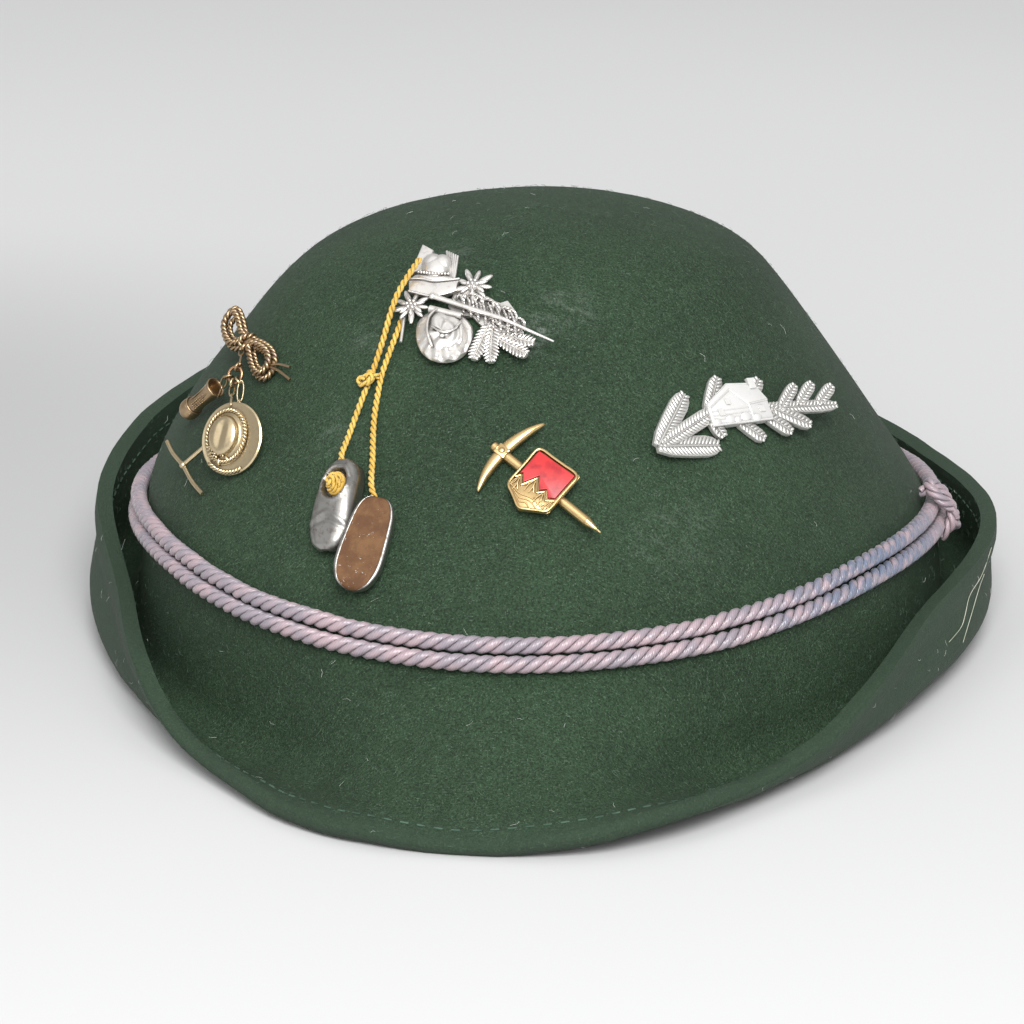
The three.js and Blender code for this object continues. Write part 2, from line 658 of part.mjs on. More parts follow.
// Low dome on the trophy, with its half sizes across and its height.
const boss = (x, y, halfX, halfY, height) => {
  const unit = trophyUnit;
  return pebble(x * unit, y * unit, trophyPlate, halfX * unit, halfY * unit, height, 8, 4);
};
const trophy = join([
  plate(tabOutline, trophyUnit, 0, trophyPlate),
  plate(brushOutline, trophyUnit, 0, trophyPlate * 1.3),
  plate(bannerOutline, trophyUnit, 0, trophyPlate * 1.2),
  plate(packOutline, trophyUnit, 0, trophyPlate),
  plate(netOutline, trophyUnit, 0, trophyPlate),
  ...sprigOutlines.map((points) => plate(points, trophyUnit, 0, trophyPlate * 0.9)),
  ...edelweiss.flatMap(flower),
  boss(-30, 20, 12, 12, trophyPlate),
  boss(-15, -27, 15, 16, trophyPlate * 1.2),
  rod(at(-27, 1, trophyPlate), at(53, -24, trophyPlate), 1.9 * trophyUnit, 0.6 * trophyUnit),
  rod(at(-43, -8, trophyPlate * 0.5), at(-41, -31, trophyPlate * 0.5), 1.1 * trophyUnit),
]);
addPiece("trophy_pin", trophy, ...brightPewter, trophyFrame);

// Pickaxe pin: x runs along the handle from the hub. Numbers are in hundredths of pickaxeSpan.
const pickaxeUnit = pickaxeSpan / 100;
const pickaxeTurn = -38.5;
const pickaxeFrame = turned(crownFrame(places.pickaxe), pickaxeTurn);
const handleHalf = handleDiameter / 2;
const head = { up: 38, down: 35, sag: 8, half: 4.4, sides: 8 };

// Crescent outline of the pickaxe's head: its tips bend forward and its middle is widest.
function headOutline() {
  const edge = (s, side) => {
    const reach = s > 0 ? head.up : head.down;
    const thick = head.half * (1 - s * s) ** 0.7 + 0.4;
    return [head.sag * s * s + side * thick, s * reach];
  };
  const steps = Array.from({ length: head.sides + 1 }, (_, i) => -1 + (2 * i) / head.sides);
  return [...steps.map((s) => edge(s, 1)), ...steps.reverse().map((s) => edge(s, -1))];
}

const bar = (x, z = handleHalf) => new THREE.Vector3(x * pickaxeUnit, 0, z);
const shieldTurn = 3.5;
const shieldTop = { x: 38, y: 21 };
const shield = { half: 19.5, side: 37, point: 48 };
const shieldPlace = new THREE.Matrix4()
  .makeTranslation(shieldTop.x * pickaxeUnit, shieldTop.y * pickaxeUnit, handleDiameter)
  .multiply(new THREE.Matrix4().makeRotationZ(shieldTurn * deg));

// Shield outline from its top middle down, drawn in from its edge by an inset in millimetres.
function shieldOutline(inset) {
  const by = inset / pickaxeUnit;
  const half = shield.half - by;
  const side = by * 0.4 - shield.side;
  return [[-half, -by], [-half, side], [0, by - shield.point], [half, side], [half, -by]];
}

// Line between the enamel above and the raised peaks below, from left to right
const skyline = [[-20, -30], [-15, -25], [-10, -31], [-4, -20], [3, -29], [7, -25], [12, -30], [20, -24]];
const belowSkyline = [...skyline, [20, -60], [-20, -60]];
const trayHeight = trayFloor + enamelDepth + seatGap;
const tray = cut(plate(shieldOutline(0), pickaxeUnit, -trayFloor, trayHeight), [
  plate(shieldOutline(trayRim), pickaxeUnit, 0, trayHeight),
]);
const peaks = geometryOf(
  solidOf(plate(shieldOutline(trayRim * 0.5), pickaxeUnit, -trayFloor * 0.5, trayHeight * 0.9)).intersect(
    solidOf(plate(belowSkyline, pickaxeUnit, -1, 4)),
  ),
);
const pickaxe = join([
  plate(headOutline(), pickaxeUnit, 0.2, handleDiameter * 0.85),
  plate([[-5, -4.5], [5, -4.5], [5, 4.5], [-5, 4.5]], pickaxeUnit, 0, handleDiameter * 1.1),
  rod(bar(-8), bar(84), handleHalf, handleHalf, 8),
  rod(bar(84), bar(93), handleHalf, handleHalf * 0.35, 8),
  rod(bar(92), bar(97), handleHalf * 0.25, handleHalf * 0.25, 8),
  join([tray, peaks]).applyMatrix4(shieldPlace),
]);
addPiece("pickaxe_pin", pickaxe, ...gold, pickaxeFrame);

// Red enamel in the shield, clear of its rim and of the peaks.
const enamelGap = seatGap / pickaxeUnit;
const enamel = geometryOf(
  solidOf(plate(shieldOutline(trayRim + seatGap), pickaxeUnit, seatGap, enamelDepth)).subtract(
    solidOf(plate(belowSkyline.map(([x, y]) => [x, y + enamelGap * 1.6]), pickaxeUnit, -1, 4)),
  ),
);
addPiece("shield_enamel", enamel, 0xc2262b, 0.25, 0, pickaxeFrame.clone().multiply(shieldPlace));

// Fir pin: leaves along a branch behind a hut. Numbers are in hundredths of firSpan; wide is a
// leaf's half width.
const firUnit = firSpan / 100;
const firLeaves = [
  { x: -41, y: -5, toX: -11, toY: -11, wide: 4.2 },
  { x: -41, y: -5, toX: -17, toY: 14, wide: 3.8 },
  { x: -39, y: -5, toX: -6, toY: 4, wide: 3.2 },
  { x: -10, y: 3, toX: 3, toY: 18, wide: 3 },
  { x: 12, y: 4, toX: 23, toY: 13, wide: 3 },
  { x: -10, y: 2, toX: -7, toY: -8, wide: 2.6 },
  { x: 3, y: -1, toX: 13, toY: -13, wide: 2.8 },
  { x: 16, y: 0, toX: 28, toY: -13, wide: 2.8 },
  { x: 22, y: 0, toX: 39, toY: -12, wide: 2.8 },
  { x: 14, y: 1, toX: 57, toY: -6, wide: 2.5 },
  { x: 27, y: -2, toX: 40, toY: 7, wide: 2.4 },
  { x: 37, y: -2, toX: 49, toY: 6, wide: 2.4 },
  { x: 47, y: -4, toX: 59, toY: 3, wide: 2.4 },
];
const hutOutline = [[-11, -3], [20, -6], [21, 3], [18, 10], [15, 12], [4, 14], [-10, 7]];
const hutRoof = [[-10, 7], [-9, 5], [4, 11], [11, 3], [21, 3], [18, 10], [15, 12], [4, 14]];

// Leaf outline from its stem to its round tip.
function leafOutline({ x, y, toX, toY, wide }) {
  const length = Math.hypot(toX - x, toY - y);
  const [dx, dy] = [(toX - x) / length, (toY - y) / length];
  const stations = [
    { s: 0.0, w: 0.5 },
    { s: 0.25, w: 1.0 },
    { s: 0.85, w: 0.85 },
    { s: 1.0, w: 0.35 },
  ];
  const side = (sign) => ({ s, w }) => [
    x + dx * s * length - sign * dy * w * wide,
    y + dy * s * length + sign * dx * w * wide,
  ];
  return [...stations.map(side(-1)), ...stations.reverse().map(side(1))];
}

const fir = join([
  ...firLeaves.map((leaf, i) => plate(leafOutline(leaf), firUnit, (i % 3) * 0.1, firPlate)),
  plate(hutOutline, firUnit, 0.1, firPlate * 1.4),
  plate(hutRoof, firUnit, 0.2, firPlate * 1.7),
]);
addPiece("fir_pin", fir, ...brightPewter, crownFrame(places.fir));

// Yellow cord and clogs

const leftPoints = leftRoute.map(onCrown);
const rightPoints = rightRoute.map(onCrown);
const yellowSteps = 16;
addPiece("clog_cord_left", cordAlong(leftPoints, yellowDiameter, yellowSteps, cordSides), ...yellow);
addPiece("clog_cord_right", cordAlong(rightPoints, yellowDiameter, yellowSteps, cordSides), ...yellow);

const yellowKnotFrame = crownFrame({ angle: -27.2, height: 0.432, off: 1.05 });
const lump = yellowKnot / 2;
const yellowFront = yellowDiameter / 2 + seatGap;
const knotLump = cut(
  join([
    pebble(0.1, 0, yellowFront + lump * 0.3, lump * 0.9, lump * 1.2, lump * 0.8, 7, 5),
    pebble(-1.2, -0.6, yellowFront + lump * 0.3, lump * 0.7, lump * 0.6, lump * 0.6, 6, 4),
  ]).applyMatrix4(yellowKnotFrame),
  [leftPoints, rightPoints].map((points) =>
    cordAlong(points, yellowDiameter + 2 * seatGap, yellowSteps, cordSides),
  ),
);
addPiece("clog_cord_knot", knotLump, ...yellow);

// Clog from its turned-up toe to its heel
const clogRows = [
  { along: -0.5, wide: 0.16, low: 0.3, high: 0.6 },
  { along: -0.43, wide: 0.36, low: 0.06, high: 0.74 },
  { along: -0.25, wide: 0.5, low: 0, high: 0.86 },
  { along: -0.02, wide: 0.46, low: 0, high: 1 },
  { along: 0.25, wide: 0.44, low: 0, high: 0.96 },
  { along: 0.43, wide: 0.38, low: 0, high: 0.84 },
  { along: 0.5, wide: 0.2, low: 0.08, high: 0.66 },
];
const mouth = { along: 0.2, wide: 0.27, long: 0.16, deep: 0.55 };

// Ellipsoid of the clog's mouth, smaller by a clearance.
function mouthForm(clearance) {
  const across = mouth.wide * clogWidth - clearance;
  const lengthwise = mouth.long * clogLength - clearance;
  const down = mouth.deep * clogHeight - clearance;
  return pebble(0, mouth.along * clogLength, clogHeight / 2, across, lengthwise, down, 8, 6);
}

const clogForm = loft(clogRows, clogLength, clogWidth, clogHeight, 10, 0.8);
clogForm.translate(0, 0, -clogHeight / 2);
const clog = cut(clogForm, [mouthForm(0)]);
const leanLeft = new THREE.Matrix4().makeRotationY(-8 * deg);
const soleOut = new THREE.Matrix4().makeRotationY(Math.PI + 12 * deg);
const clogLeftFrame = turned(crownFrame(places.clogLeft), 8).multiply(leanLeft);
const clogRightFrame = turned(crownFrame(places.clogRight), -1).multiply(soleOut);
addPiece("clog_left", clog, ...dullPewter, clogLeftFrame);
addPiece("clog_right", clog, ...dullPewter, clogRightFrame);
addPiece("clog_lace", geometryOf(solidOf(mouthForm(seatGap))), ...yellow, clogLeftFrame);

// The origin is under the middle of the hat, on what it rests on.
const box = new THREE.Box3().setFromObject(hat, true);
const centre = box.getCenter(new THREE.Vector3());
hat.position.set(-centre.x, -centre.y, -box.min.z);

export default hat;
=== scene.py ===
"""A green felt Tyrolean hat with its twisted band, souvenir pins and small clogs on a yellow cord.

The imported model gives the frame, the sizes and the places. Each sub-assembly is a class that
models its pieces in millimetres and sets them on the crown.
"""

import json
import logging
import math
import random
from collections.abc import Callable, Iterable, Sequence
from dataclasses import dataclass, field
from enum import Enum

import bmesh
import bpy
from mathutils import Matrix, Quaternion, Vector, noise

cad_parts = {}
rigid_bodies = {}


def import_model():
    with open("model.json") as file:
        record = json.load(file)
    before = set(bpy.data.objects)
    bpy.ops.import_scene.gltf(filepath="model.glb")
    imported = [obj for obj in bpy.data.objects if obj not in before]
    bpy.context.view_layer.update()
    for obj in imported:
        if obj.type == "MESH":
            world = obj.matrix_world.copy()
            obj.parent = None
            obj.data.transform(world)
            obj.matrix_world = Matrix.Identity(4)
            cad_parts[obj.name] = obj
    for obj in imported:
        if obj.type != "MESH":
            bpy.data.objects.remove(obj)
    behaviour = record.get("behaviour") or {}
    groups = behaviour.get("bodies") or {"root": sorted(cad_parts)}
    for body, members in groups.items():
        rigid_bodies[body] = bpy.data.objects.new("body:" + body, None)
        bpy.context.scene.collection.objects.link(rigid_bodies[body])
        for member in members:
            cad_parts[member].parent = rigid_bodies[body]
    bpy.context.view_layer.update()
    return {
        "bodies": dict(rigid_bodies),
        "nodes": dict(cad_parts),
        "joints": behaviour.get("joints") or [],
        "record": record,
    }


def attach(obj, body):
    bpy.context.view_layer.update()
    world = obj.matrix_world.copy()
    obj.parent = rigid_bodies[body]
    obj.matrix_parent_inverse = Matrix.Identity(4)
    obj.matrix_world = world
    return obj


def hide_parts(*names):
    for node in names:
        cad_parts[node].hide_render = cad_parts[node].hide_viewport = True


log = logging.getLogger("hat")

MM = 0.001
TAU = 2 * math.pi
CURVE_STEPS = 24
TURN_STEPS = 10
RING_POINTS = 12
WELD = 1e-5
CORNER_SAMPLES = 6
FIBRE_SEED = 11

Outline = Sequence[tuple[float, float]]
Colour = tuple[float, float, float]
Spots = Sequence[tuple[float, float, float]]


def smooth(x: float) -> float:
    """Ease from 0 to 1 as x goes from 0 to 1."""
    s = min(1.0, max(0.0, x))
    return s * s * (3 - 2 * s)


def along(values: Sequence[float], x: float, closed: bool = False) -> float:
    """Smooth value at place x along evenly spaced values.

    Args:
        values: The values, one for each whole number.
        x: The place.
        closed: Whether the last value is followed by the first.

    Returns:
        The value of the smooth curve through them.
    """
    count = len(values)
    i = math.floor(x)
    f = x - i
    if closed:
        a, b, c, d = (values[(i + k) % count] for k in (-1, 0, 1, 2))
    else:
        a, b, c, d = (values[min(count - 1, max(0, i + k))] for k in (-1, 0, 1, 2))
    return b + 0.5 * f * (c - a + f * (2 * a - 5 * b + 4 * c - d + f * (3 * (b - c) + d - a)))


def even_points(points: Sequence[Vector], step: float, closed: bool = False) -> list[Vector]:
    """Points a step apart on the smooth curve through some points.

    Args:
        points: The points that the curve passes.
        step: The distance wanted between the new points.
        closed: Whether the curve closes on itself.

    Returns:
        The new points, the last one on the last point unless the curve is closed.
    """
    spans = len(points) if closed else len(points) - 1
    axes = [[p[k] for p in points] for k in range(3)]
    steps = range(spans * CURVE_STEPS + 1)
    fine = [Vector(along(axis, i / CURVE_STEPS, closed) for axis in axes) for i in steps]
    reached = [0.0]
    for a, b in zip(fine, fine[1:]):
        reached.append(reached[-1] + (b - a).length)
    count = max(2, round(reached[-1] / step))
    result = []
    k = 0
    for i in range(count if closed else count + 1):
        want = reached[-1] * i / count
        while k < len(fine) - 2 and reached[k + 1] < want:
            k += 1
        share = (want - reached[k]) / max(1e-12, reached[k + 1] - reached[k])
        result.append(fine[k].lerp(fine[k + 1], min(1.0, share)))
    return result


def turned(count: int) -> list[float]:
    """Angles of a full turn in even steps, in radians."""
    return [TAU * i / count for i in range(count)]


def scaled(spots: Spots, unit: float) -> list[Vector]:
    """Points whose x and y are in the given unit and whose z is in millimetres."""
    return [Vector((x * unit, y * unit, z)) for x, y, z in spots]


def path_length(points: Sequence[Vector]) -> float:
    """Length of the line through some points."""
    return sum((b - a).length for a, b in zip(points, points[1:]))


@dataclass(frozen=True)
class CrownRow:
    """Outline of the crown at one height, as shares of the opening's half sizes."""

    rise: float
    right: float
    left: float
    front: float
    back: float


@dataclass(frozen=True)
class BrimRow:
    """Section of the brim at one angle: its width, bend height and slopes."""

    at: float
    width: float
    lift: float
    near: float
    far: float
    roll: float
    span: float


@dataclass(frozen=True)
class Place:
    """Place on the crown: angle from the front in degrees, share of its height, distance off it."""

    angle: float
    height: float
    off: float = 0.5


@dataclass(frozen=True)
class Facing:
    """Direction in which a piece faces, in degrees."""

    azimuth: float
    elevation: float


@dataclass(frozen=True)
class Dent:
    """Soft hollow or swelling of the felt: where on the brim or crown, how wide and how deep."""

    angle: float
    reach: float
    wide: float
    deep: float


CROWN_ROWS = (
    CrownRow(0.0, 1.0, 1.0, 1.0, 1.0),
    CrownRow(0.14, 0.94, 0.98, 0.93, 0.975),
    CrownRow(0.28, 0.86, 0.93, 0.84, 0.93),
    CrownRow(0.43, 0.775, 0.85, 0.73, 0.86),
    CrownRow(0.58, 0.69, 0.755, 0.615, 0.775),
    CrownRow(0.72, 0.61, 0.665, 0.5, 0.675),
    CrownRow(0.83, 0.535, 0.57, 0.4, 0.555),
    CrownRow(0.905, 0.43, 0.455, 0.31, 0.43),
    CrownRow(0.955, 0.29, 0.3, 0.215, 0.3),
    CrownRow(0.985, 0.15, 0.15, 0.12, 0.16),
    CrownRow(1.0, 0.0, 0.0, 0.0, 0.0),
)

BRIM_ROWS = (
    BrimRow(0, 0.845, 0.58, -35, -31, 0.5, 0.6),
    BrimRow(30, 0.81, 0.605, -76, 60, 0.715, 0.55),
    BrimRow(60, 0.86, 0.65, -84, 105, 0.62, 0.36),
    BrimRow(90, 0.94, 0.56, -84, 94, 0.5, 0.42),
    BrimRow(120, 0.79, 0.43, -80, 103, 0.445, 0.45),
    BrimRow(150, 0.81, 0.3, -75, 94, 0.33, 0.45),
    BrimRow(180, 0.92, 0.24, -72, 92, 0.25, 0.42),
    BrimRow(210, 1.02, 0.3, -75, 92, 0.28, 0.4),
    BrimRow(240, 1.06, 0.43, -80, 94, 0.34, 0.4),
    BrimRow(270, 1.04, 0.56, -82, 100, 0.47, 0.42),
    BrimRow(300, 0.94, 0.65, -84, 106, 0.62, 0.34),
    BrimRow(330, 0.83, 0.605, -80, 42, 0.68, 0.55),
)


@dataclass
class HatForm:
    """Form of the felt, which every other piece sits on. Sizes are in millimetres."""

    apex: Vector
    head_width: float = 166
    head_length: float = 200
    felt_wall: float = 2
    hem_wall: float = 3.4
    hem_depth: float = 8
    crown_height: float = 70
    peak_forward: float = 12
    brim_width: float = 46
    cord_diameter: float = 3.3
    seat_gap: float = 0.3
    crown: dict[str, list[float]] = field(default_factory=dict)
    brim: dict[str, list[float]] = field(default_factory=dict)
    shift: Vector = field(default_factory=Vector)

    def __post_init__(self) -> None:
        """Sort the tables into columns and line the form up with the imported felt."""
        for key in ("rise", "right", "left", "front", "back"):
            self.crown[key] = [getattr(row, key) for row in CROWN_ROWS]
        for key in ("width", "lift", "near", "far", "roll", "span"):
            self.brim[key] = [getattr(row, key) for row in BRIM_ROWS]
        self.shift = self.apex / MM - self.crown_point(0, 1)

    @property
    def half_width(self) -> float:
        """Half the opening's outer width."""
        return self.head_width / 2 + self.felt_wall

    @property
    def half_length(self) -> float:
        """Half the opening's outer length."""
        return self.head_length / 2 + self.felt_wall

    def at_brim(self, t: float, key: str) -> float:
        """Value of one column of the brim's table at an angle in radians."""
        return along(self.brim[key], t / TAU * len(BRIM_ROWS), True)

    def crown_point(self, t: float, u: float) -> Vector:
        """Point on the crown's outer face, in millimetres.

        Args:
            t: Angle from the front, in radians.
            u: Share of the table's rows, from 0 at the brim to 1 at the top.

        Returns:
            The point.
        """
        x = u * (len(CROWN_ROWS) - 1)
        ahead = math.cos(t) > 0
        reach = self.half_length * along(self.crown["front" if ahead else "back"], x)
        side = along(self.crown["right" if math.sin(t) > 0 else "left"], x)
        rise = along(self.crown["rise"], x)
        top = self.at_brim(0, "lift") * self.brim_width + self.crown_height
        low = self.at_brim(t, "lift") * self.brim_width
        point = Vector(
            (
                self.half_width * side * math.sin(t),
                -reach * math.cos(t) - self.peak_forward * rise * rise,
                low + (top - low) * rise,
            )
        )
        return point + self.shift

    def brim_point(self, t: float, v: float) -> Vector:
        """Point on the brim's upper face, in millimetres.

        Args:
            t: Angle from the front, in radians.
            v: Share of the brim's width, from 0 at the crown to 1 at the edge.

        Returns:
            The point.
        """
        out = Vector((math.sin(t) / self.half_width, -math.cos(t) / self.half_length, 0))
        width, roll, span, near, far = (
            self.at_brim(t, key) for key in ("width", "roll", "span", "near", "far")
        )
        slices = 24
        reach = climb = 0.0
        for i in range(slices):
            s = (i + 0.5) / slices * v
            slope = math.radians(near + (far - near) * smooth((s - roll) / span + 0.5))
            reach += math.cos(slope)
            climb += math.sin(slope)
        share = v * width * self.brim_width / slices
        return self.crown_point(t, 0) + out.normalized() * reach * share + Vector((0, 0, climb * share))

    def frame(self, place: Place) -> Matrix:
        """Frame on the crown, in metres, for pieces modelled in millimetres.

        Args:
            place: Where it touches the crown.

        Returns:
            The frame: x to the right along the felt, y up along it, z off it.
        """
        t = math.radians(place.angle)
        step = 0.01
        around = self.crown_point(t + step, place.height) - self.crown_point(t - step, place.height)
        rise = self.crown_point(t, place.height + step) - self.crown_point(t, place.height - step)
        out = around.cross(rise).normalized()
        right = Vector((0, 0, 1)).cross(out).normalized()
        origin = self.crown_point(t, place.height) + out * place.off
        return in_metres(right, out.cross(right), out, origin)

    def point(self, place: Place) -> Vector:
        """Point at a place, in millimetres."""
        return self.frame(place).translation / MM

    def facing(self, place: Place, way: Facing) -> Matrix:
        """Frame at a place whose z goes in a given direction, with y upwards.

        Args:
            place: Where it is on the crown.
            way: The direction.

        Returns:
            The frame, from millimetres to metres.
        """
        azimuth, elevation = math.radians(way.azimuth), math.radians(way.elevation)
        flat = math.cos(elevation)
        out = Vector((math.sin(azimuth) * flat, -math.cos(azimuth) * flat, math.sin(elevation)))
        right = Vector((math.cos(azimuth), math.sin(azimuth), 0))
        return in_metres(right, out.cross(right), out, self.point(place))

    def height_above(self, t: float, distance: float) -> float:
        """Share of the crown's height that lies this far up the felt from the bend.

        Args:
            t: Angle from the front, in radians.
            distance: How far up, in millimetres.

        Returns:
            The share, from 0 to 1.
        """
        step = 0.002
        height = 0.0
        here = self.crown_point(t, 0)
        while distance > 0:
            height += step
            above = self.crown_point(t, height)
            distance -= (above - here).length
            here = above
        return height

    def above_bend(self, angle: float, distance: float, off: float) -> Place:
        """Place at an angle in degrees, a distance up the felt from the bend and one off it."""
        return Place(angle, self.height_above(math.radians(angle), distance), off)


def in_metres(right: Vector, up: Vector, out: Vector, origin: Vector) -> Matrix:
    """Matrix from a piece's own millimetres to metres in the shared frame."""
    turn = Matrix((right, up, out)).transposed().to_4x4()
    return Matrix.Translation(origin * MM) @ turn @ Matrix.Scale(MM, 4)


class Shader:
    """Node tree of one material, with short calls that add its nodes and join them."""

    def __init__(self, name: str) -> None:
        """Make an empty material with one principled surface."""
        self.material = bpy.data.materials.new(name)
        self.material.use_nodes = True
        self.tree = self.material.node_tree
        self.tree.nodes.clear()
        self.surface = self.add("ShaderNodeBsdfPrincipled")
        output = self.add("ShaderNodeOutputMaterial")
        self.join(self.surface.outputs[0], output.inputs["Surface"])
        self.place = self.add("ShaderNodeTexCoord").outputs["Object"]

    def add(self, kind: str, **settings: object) -> bpy.types.Node:
        """Add a node and set its properties."""
        node = self.tree.nodes.new(kind)
        for key, value in settings.items():
            setattr(node, key, value)
        return node

    def join(self, source: object, target: bpy.types.NodeSocket) -> None:
        """Link a socket to a target, or set the target to a plain value."""
        if isinstance(source, bpy.types.NodeSocket):
            self.tree.links.new(source, target)
        elif isinstance(source, tuple) and target.type == "RGBA":
            target.default_value = (*source[:3], 1)
        else:
            target.default_value = source

    def set(self, **values: object) -> None:
        """Set or link the surface's sockets, named with underscores for spaces."""
        for key, value in values.items():
            self.join(value, self.surface.inputs[key.replace("_", " ")])

    def noise(
        self, scale: float, detail: float = 3, rough: float = 0.55,
        vector: bpy.types.NodeSocket | None = None,
    ) -> bpy.types.NodeSocket:
        """Noise from 0 to 1 over the object's own coordinates, in features per metre.

        Args:
            scale: Features for each metre.
            detail: Number of finer layers.
            rough: Strength of the finer layers.
            vector: Coordinates in place of the object's own.

        Returns:
            The noise.
        """
        node = self.add("ShaderNodeTexNoise")
        self.join(vector or self.place, node.inputs["Vector"])
        for key, value in (("Scale", scale), ("Detail", detail), ("Roughness", rough)):
            node.inputs[key].default_value = value
        return node.outputs["Fac"]

    def math(self, operation: str, *values: object) -> bpy.types.NodeSocket:
        """Result of one arithmetic operation."""
        node = self.add("ShaderNodeMath", operation=operation)
        for value, target in zip(values, node.inputs):
            self.join(value, target)
        return node.outputs[0]

    def spread(self, value: object, low: float, high: float, start: float = 0, end: float = 1) -> object:
        """Value moved smoothly from one range to another and held at its ends.

        Args:
            value: The value.
            low: Start of its range.
            high: End of its range.
            start: What it becomes at the start.
            end: What it becomes at the end.

        Returns:
            The moved value.
        """
        node = self.add("ShaderNodeMapRange", interpolation_type="SMOOTHSTEP")
        for amount, target in zip((value, low, high, start, end), node.inputs):
            self.join(amount, target)
        return node.outputs["Result"]

    def mix(self, share: object, first: object, second: object, blend: str = "MIX") -> object:
        """Colour between two colours.

        Args:
            share: Share of the second colour.
            first: The first colour.
            second: The second colour.
            blend: How they are mixed.

        Returns:
            The colour.
        """
        node = self.add("ShaderNodeMix", data_type="RGBA", blend_type=blend)
        self.join(share, node.inputs[0])
        self.join(first, node.inputs[6])
        self.join(second, node.inputs[7])
        return node.outputs[2]

    def bump(self, height: object, depth: float, strength: float, under: object = None) -> object:
        """Normal of a relief of this depth in metres.

        Args:
            height: Height of the relief, from 0 to 1.
            depth: Its depth, in metres.
            strength: How much of it shows.
            under: Normal of the relief below it.

        Returns:
            The normal.
        """
        node = self.add("ShaderNodeBump")
        self.join(height, node.inputs["Height"])
        node.inputs["Distance"].default_value = depth
        node.inputs["Strength"].default_value = strength
        if under is not None:
            self.join(under, node.inputs["Normal"])
        return node.outputs["Normal"]

    def stretched(self, scale: tuple[float, float, float], turn: tuple[float, float, float]) -> object:
        """Object coordinates turned and stretched, for grain that runs one way."""
        node = self.add("ShaderNodeMapping")
        self.join(self.place, node.inputs["Vector"])
        node.inputs["Scale"].default_value = scale
        node.inputs["Rotation"].default_value = turn
        return node.outputs["Vector"]

    def near(self, point: Vector, radius: float) -> object:
        """Mask that is 1 at a point and fades out at a radius, both in metres."""
        node = self.add("ShaderNodeVectorMath", operation="DISTANCE")
        self.join(self.place, node.inputs[0])
        node.inputs[1].default_value = point
        return self.spread(node.outputs["Value"], radius * 0.2, radius, 1, 0)

    def corner(self, reach: float) -> object:
        """Mask that is dark in corners no wider than the reach, in millimetres."""
        node = self.add("ShaderNodeAmbientOcclusion", samples=CORNER_SAMPLES)
        node.inputs["Distance"].default_value = reach * MM
        return node.outputs["AO"]

    def along_piece(self) -> tuple[object, object]:
        """The piece's own UV map, as its two coordinates."""
        node = self.add("ShaderNodeSeparateXYZ")
        self.join(self.add("ShaderNodeUVMap", uv_map="UVMap").outputs["UV"], node.inputs[0])
        return node.outputs["X"], node.outputs["Y"]


@dataclass(frozen=True)
class DustMark:
    """Pale dusty mark on the felt: where, how far it reaches and how strong it is."""

    place: Place
    radius: float
    strength: float


@dataclass(frozen=True)
class FeltFinish:
    """Dark green blocked wool felt with a fine nap, pale fibres and dust."""

    deep: Colour = (0.0125, 0.0295, 0.0132)
    main: Colour = (0.0178, 0.04, 0.0182)
    pale: Colour = (0.032, 0.062, 0.032)
    fibre: Colour = (0.18, 0.26, 0.185)
    dust: Colour = (0.34, 0.38, 0.34)
    rim: Colour = (0.03, 0.053, 0.033)

    def material(self, name: str, form: HatForm, marks: Sequence[DustMark]) -> bpy.types.Material:
        """Make the felt's material.

        Args:
            name: The material's name.
            form: The hat's form, for the places of the marks.
            marks: The dusty marks.

        Returns:
            The material.
        """
        s = Shader(name)
        cloud = s.noise(38, 4, 0.6)
        mottle = s.noise(420, 4, 0.65)
        wool = s.noise(2300, 3, 0.7)
        threads = s.noise(900, 2, 0.6, s.stretched((1, 6, 1), (0.4, 0.7, 0.9)))
        cross = s.noise(900, 2, 0.6, s.stretched((6, 1, 2), (0.9, 0.2, 0.5)))
        colour = s.mix(s.spread(cloud, 0.32, 0.68), self.deep, self.main)
        colour = s.mix(s.math("MULTIPLY", s.spread(mottle, 0.5, 0.75), 0.5), colour, self.pale)
        tone = s.spread(wool, 0.34, 0.66, 0.5, 1.6)
        colour = s.mix(1.0, colour, tone, "MULTIPLY")
        grain = s.math("MAXIMUM", s.spread(threads, 0.6, 0.76), s.spread(cross, 0.61, 0.77))
        colour = s.mix(s.math("MULTIPLY", grain, 0.4), colour, self.fibre)
        fleck = s.spread(s.noise(2700, 2, 0.7), 0.64, 0.74)
        colour = s.mix(s.math("MULTIPLY", fleck, 0.6), colour, self.fibre)
        _, edge = s.along_piece()
        colour = s.mix(s.spread(edge, 0.44, 0.5, 0, 0.6), colour, self.rim)
        dusty = 0.0
        for mark in marks:
            spot = form.point(mark.place) * MM
            mask = s.math("MULTIPLY", s.near(spot, mark.radius * MM), mark.strength)
            dusty = s.math("MAXIMUM", mask, dusty)
        streaks = s.noise(260, 5, 0.75, s.stretched((1, 2.4, 0.6), (0, 0.7, 0.4)))
        powder = s.math("MULTIPLY", dusty, s.spread(streaks, 0.42, 0.72))
        powder = s.math("MULTIPLY", powder, s.spread(wool, 0.3, 0.62, 0.35, 1))
        colour = s.mix(powder, colour, self.dust)
        relief = s.bump(wool, 0.0005, 0.85)
        relief = s.bump(mottle, 0.0006, 0.35, relief)
        s.set(Base_Color=colour, Roughness=0.62, Normal=relief, Specular_IOR_Level=0.24)
        s.set(Sheen_Weight=0.03, Sheen_Roughness=0.5, Sheen_Tint=(0.6, 0.7, 0.6))
        return s.material


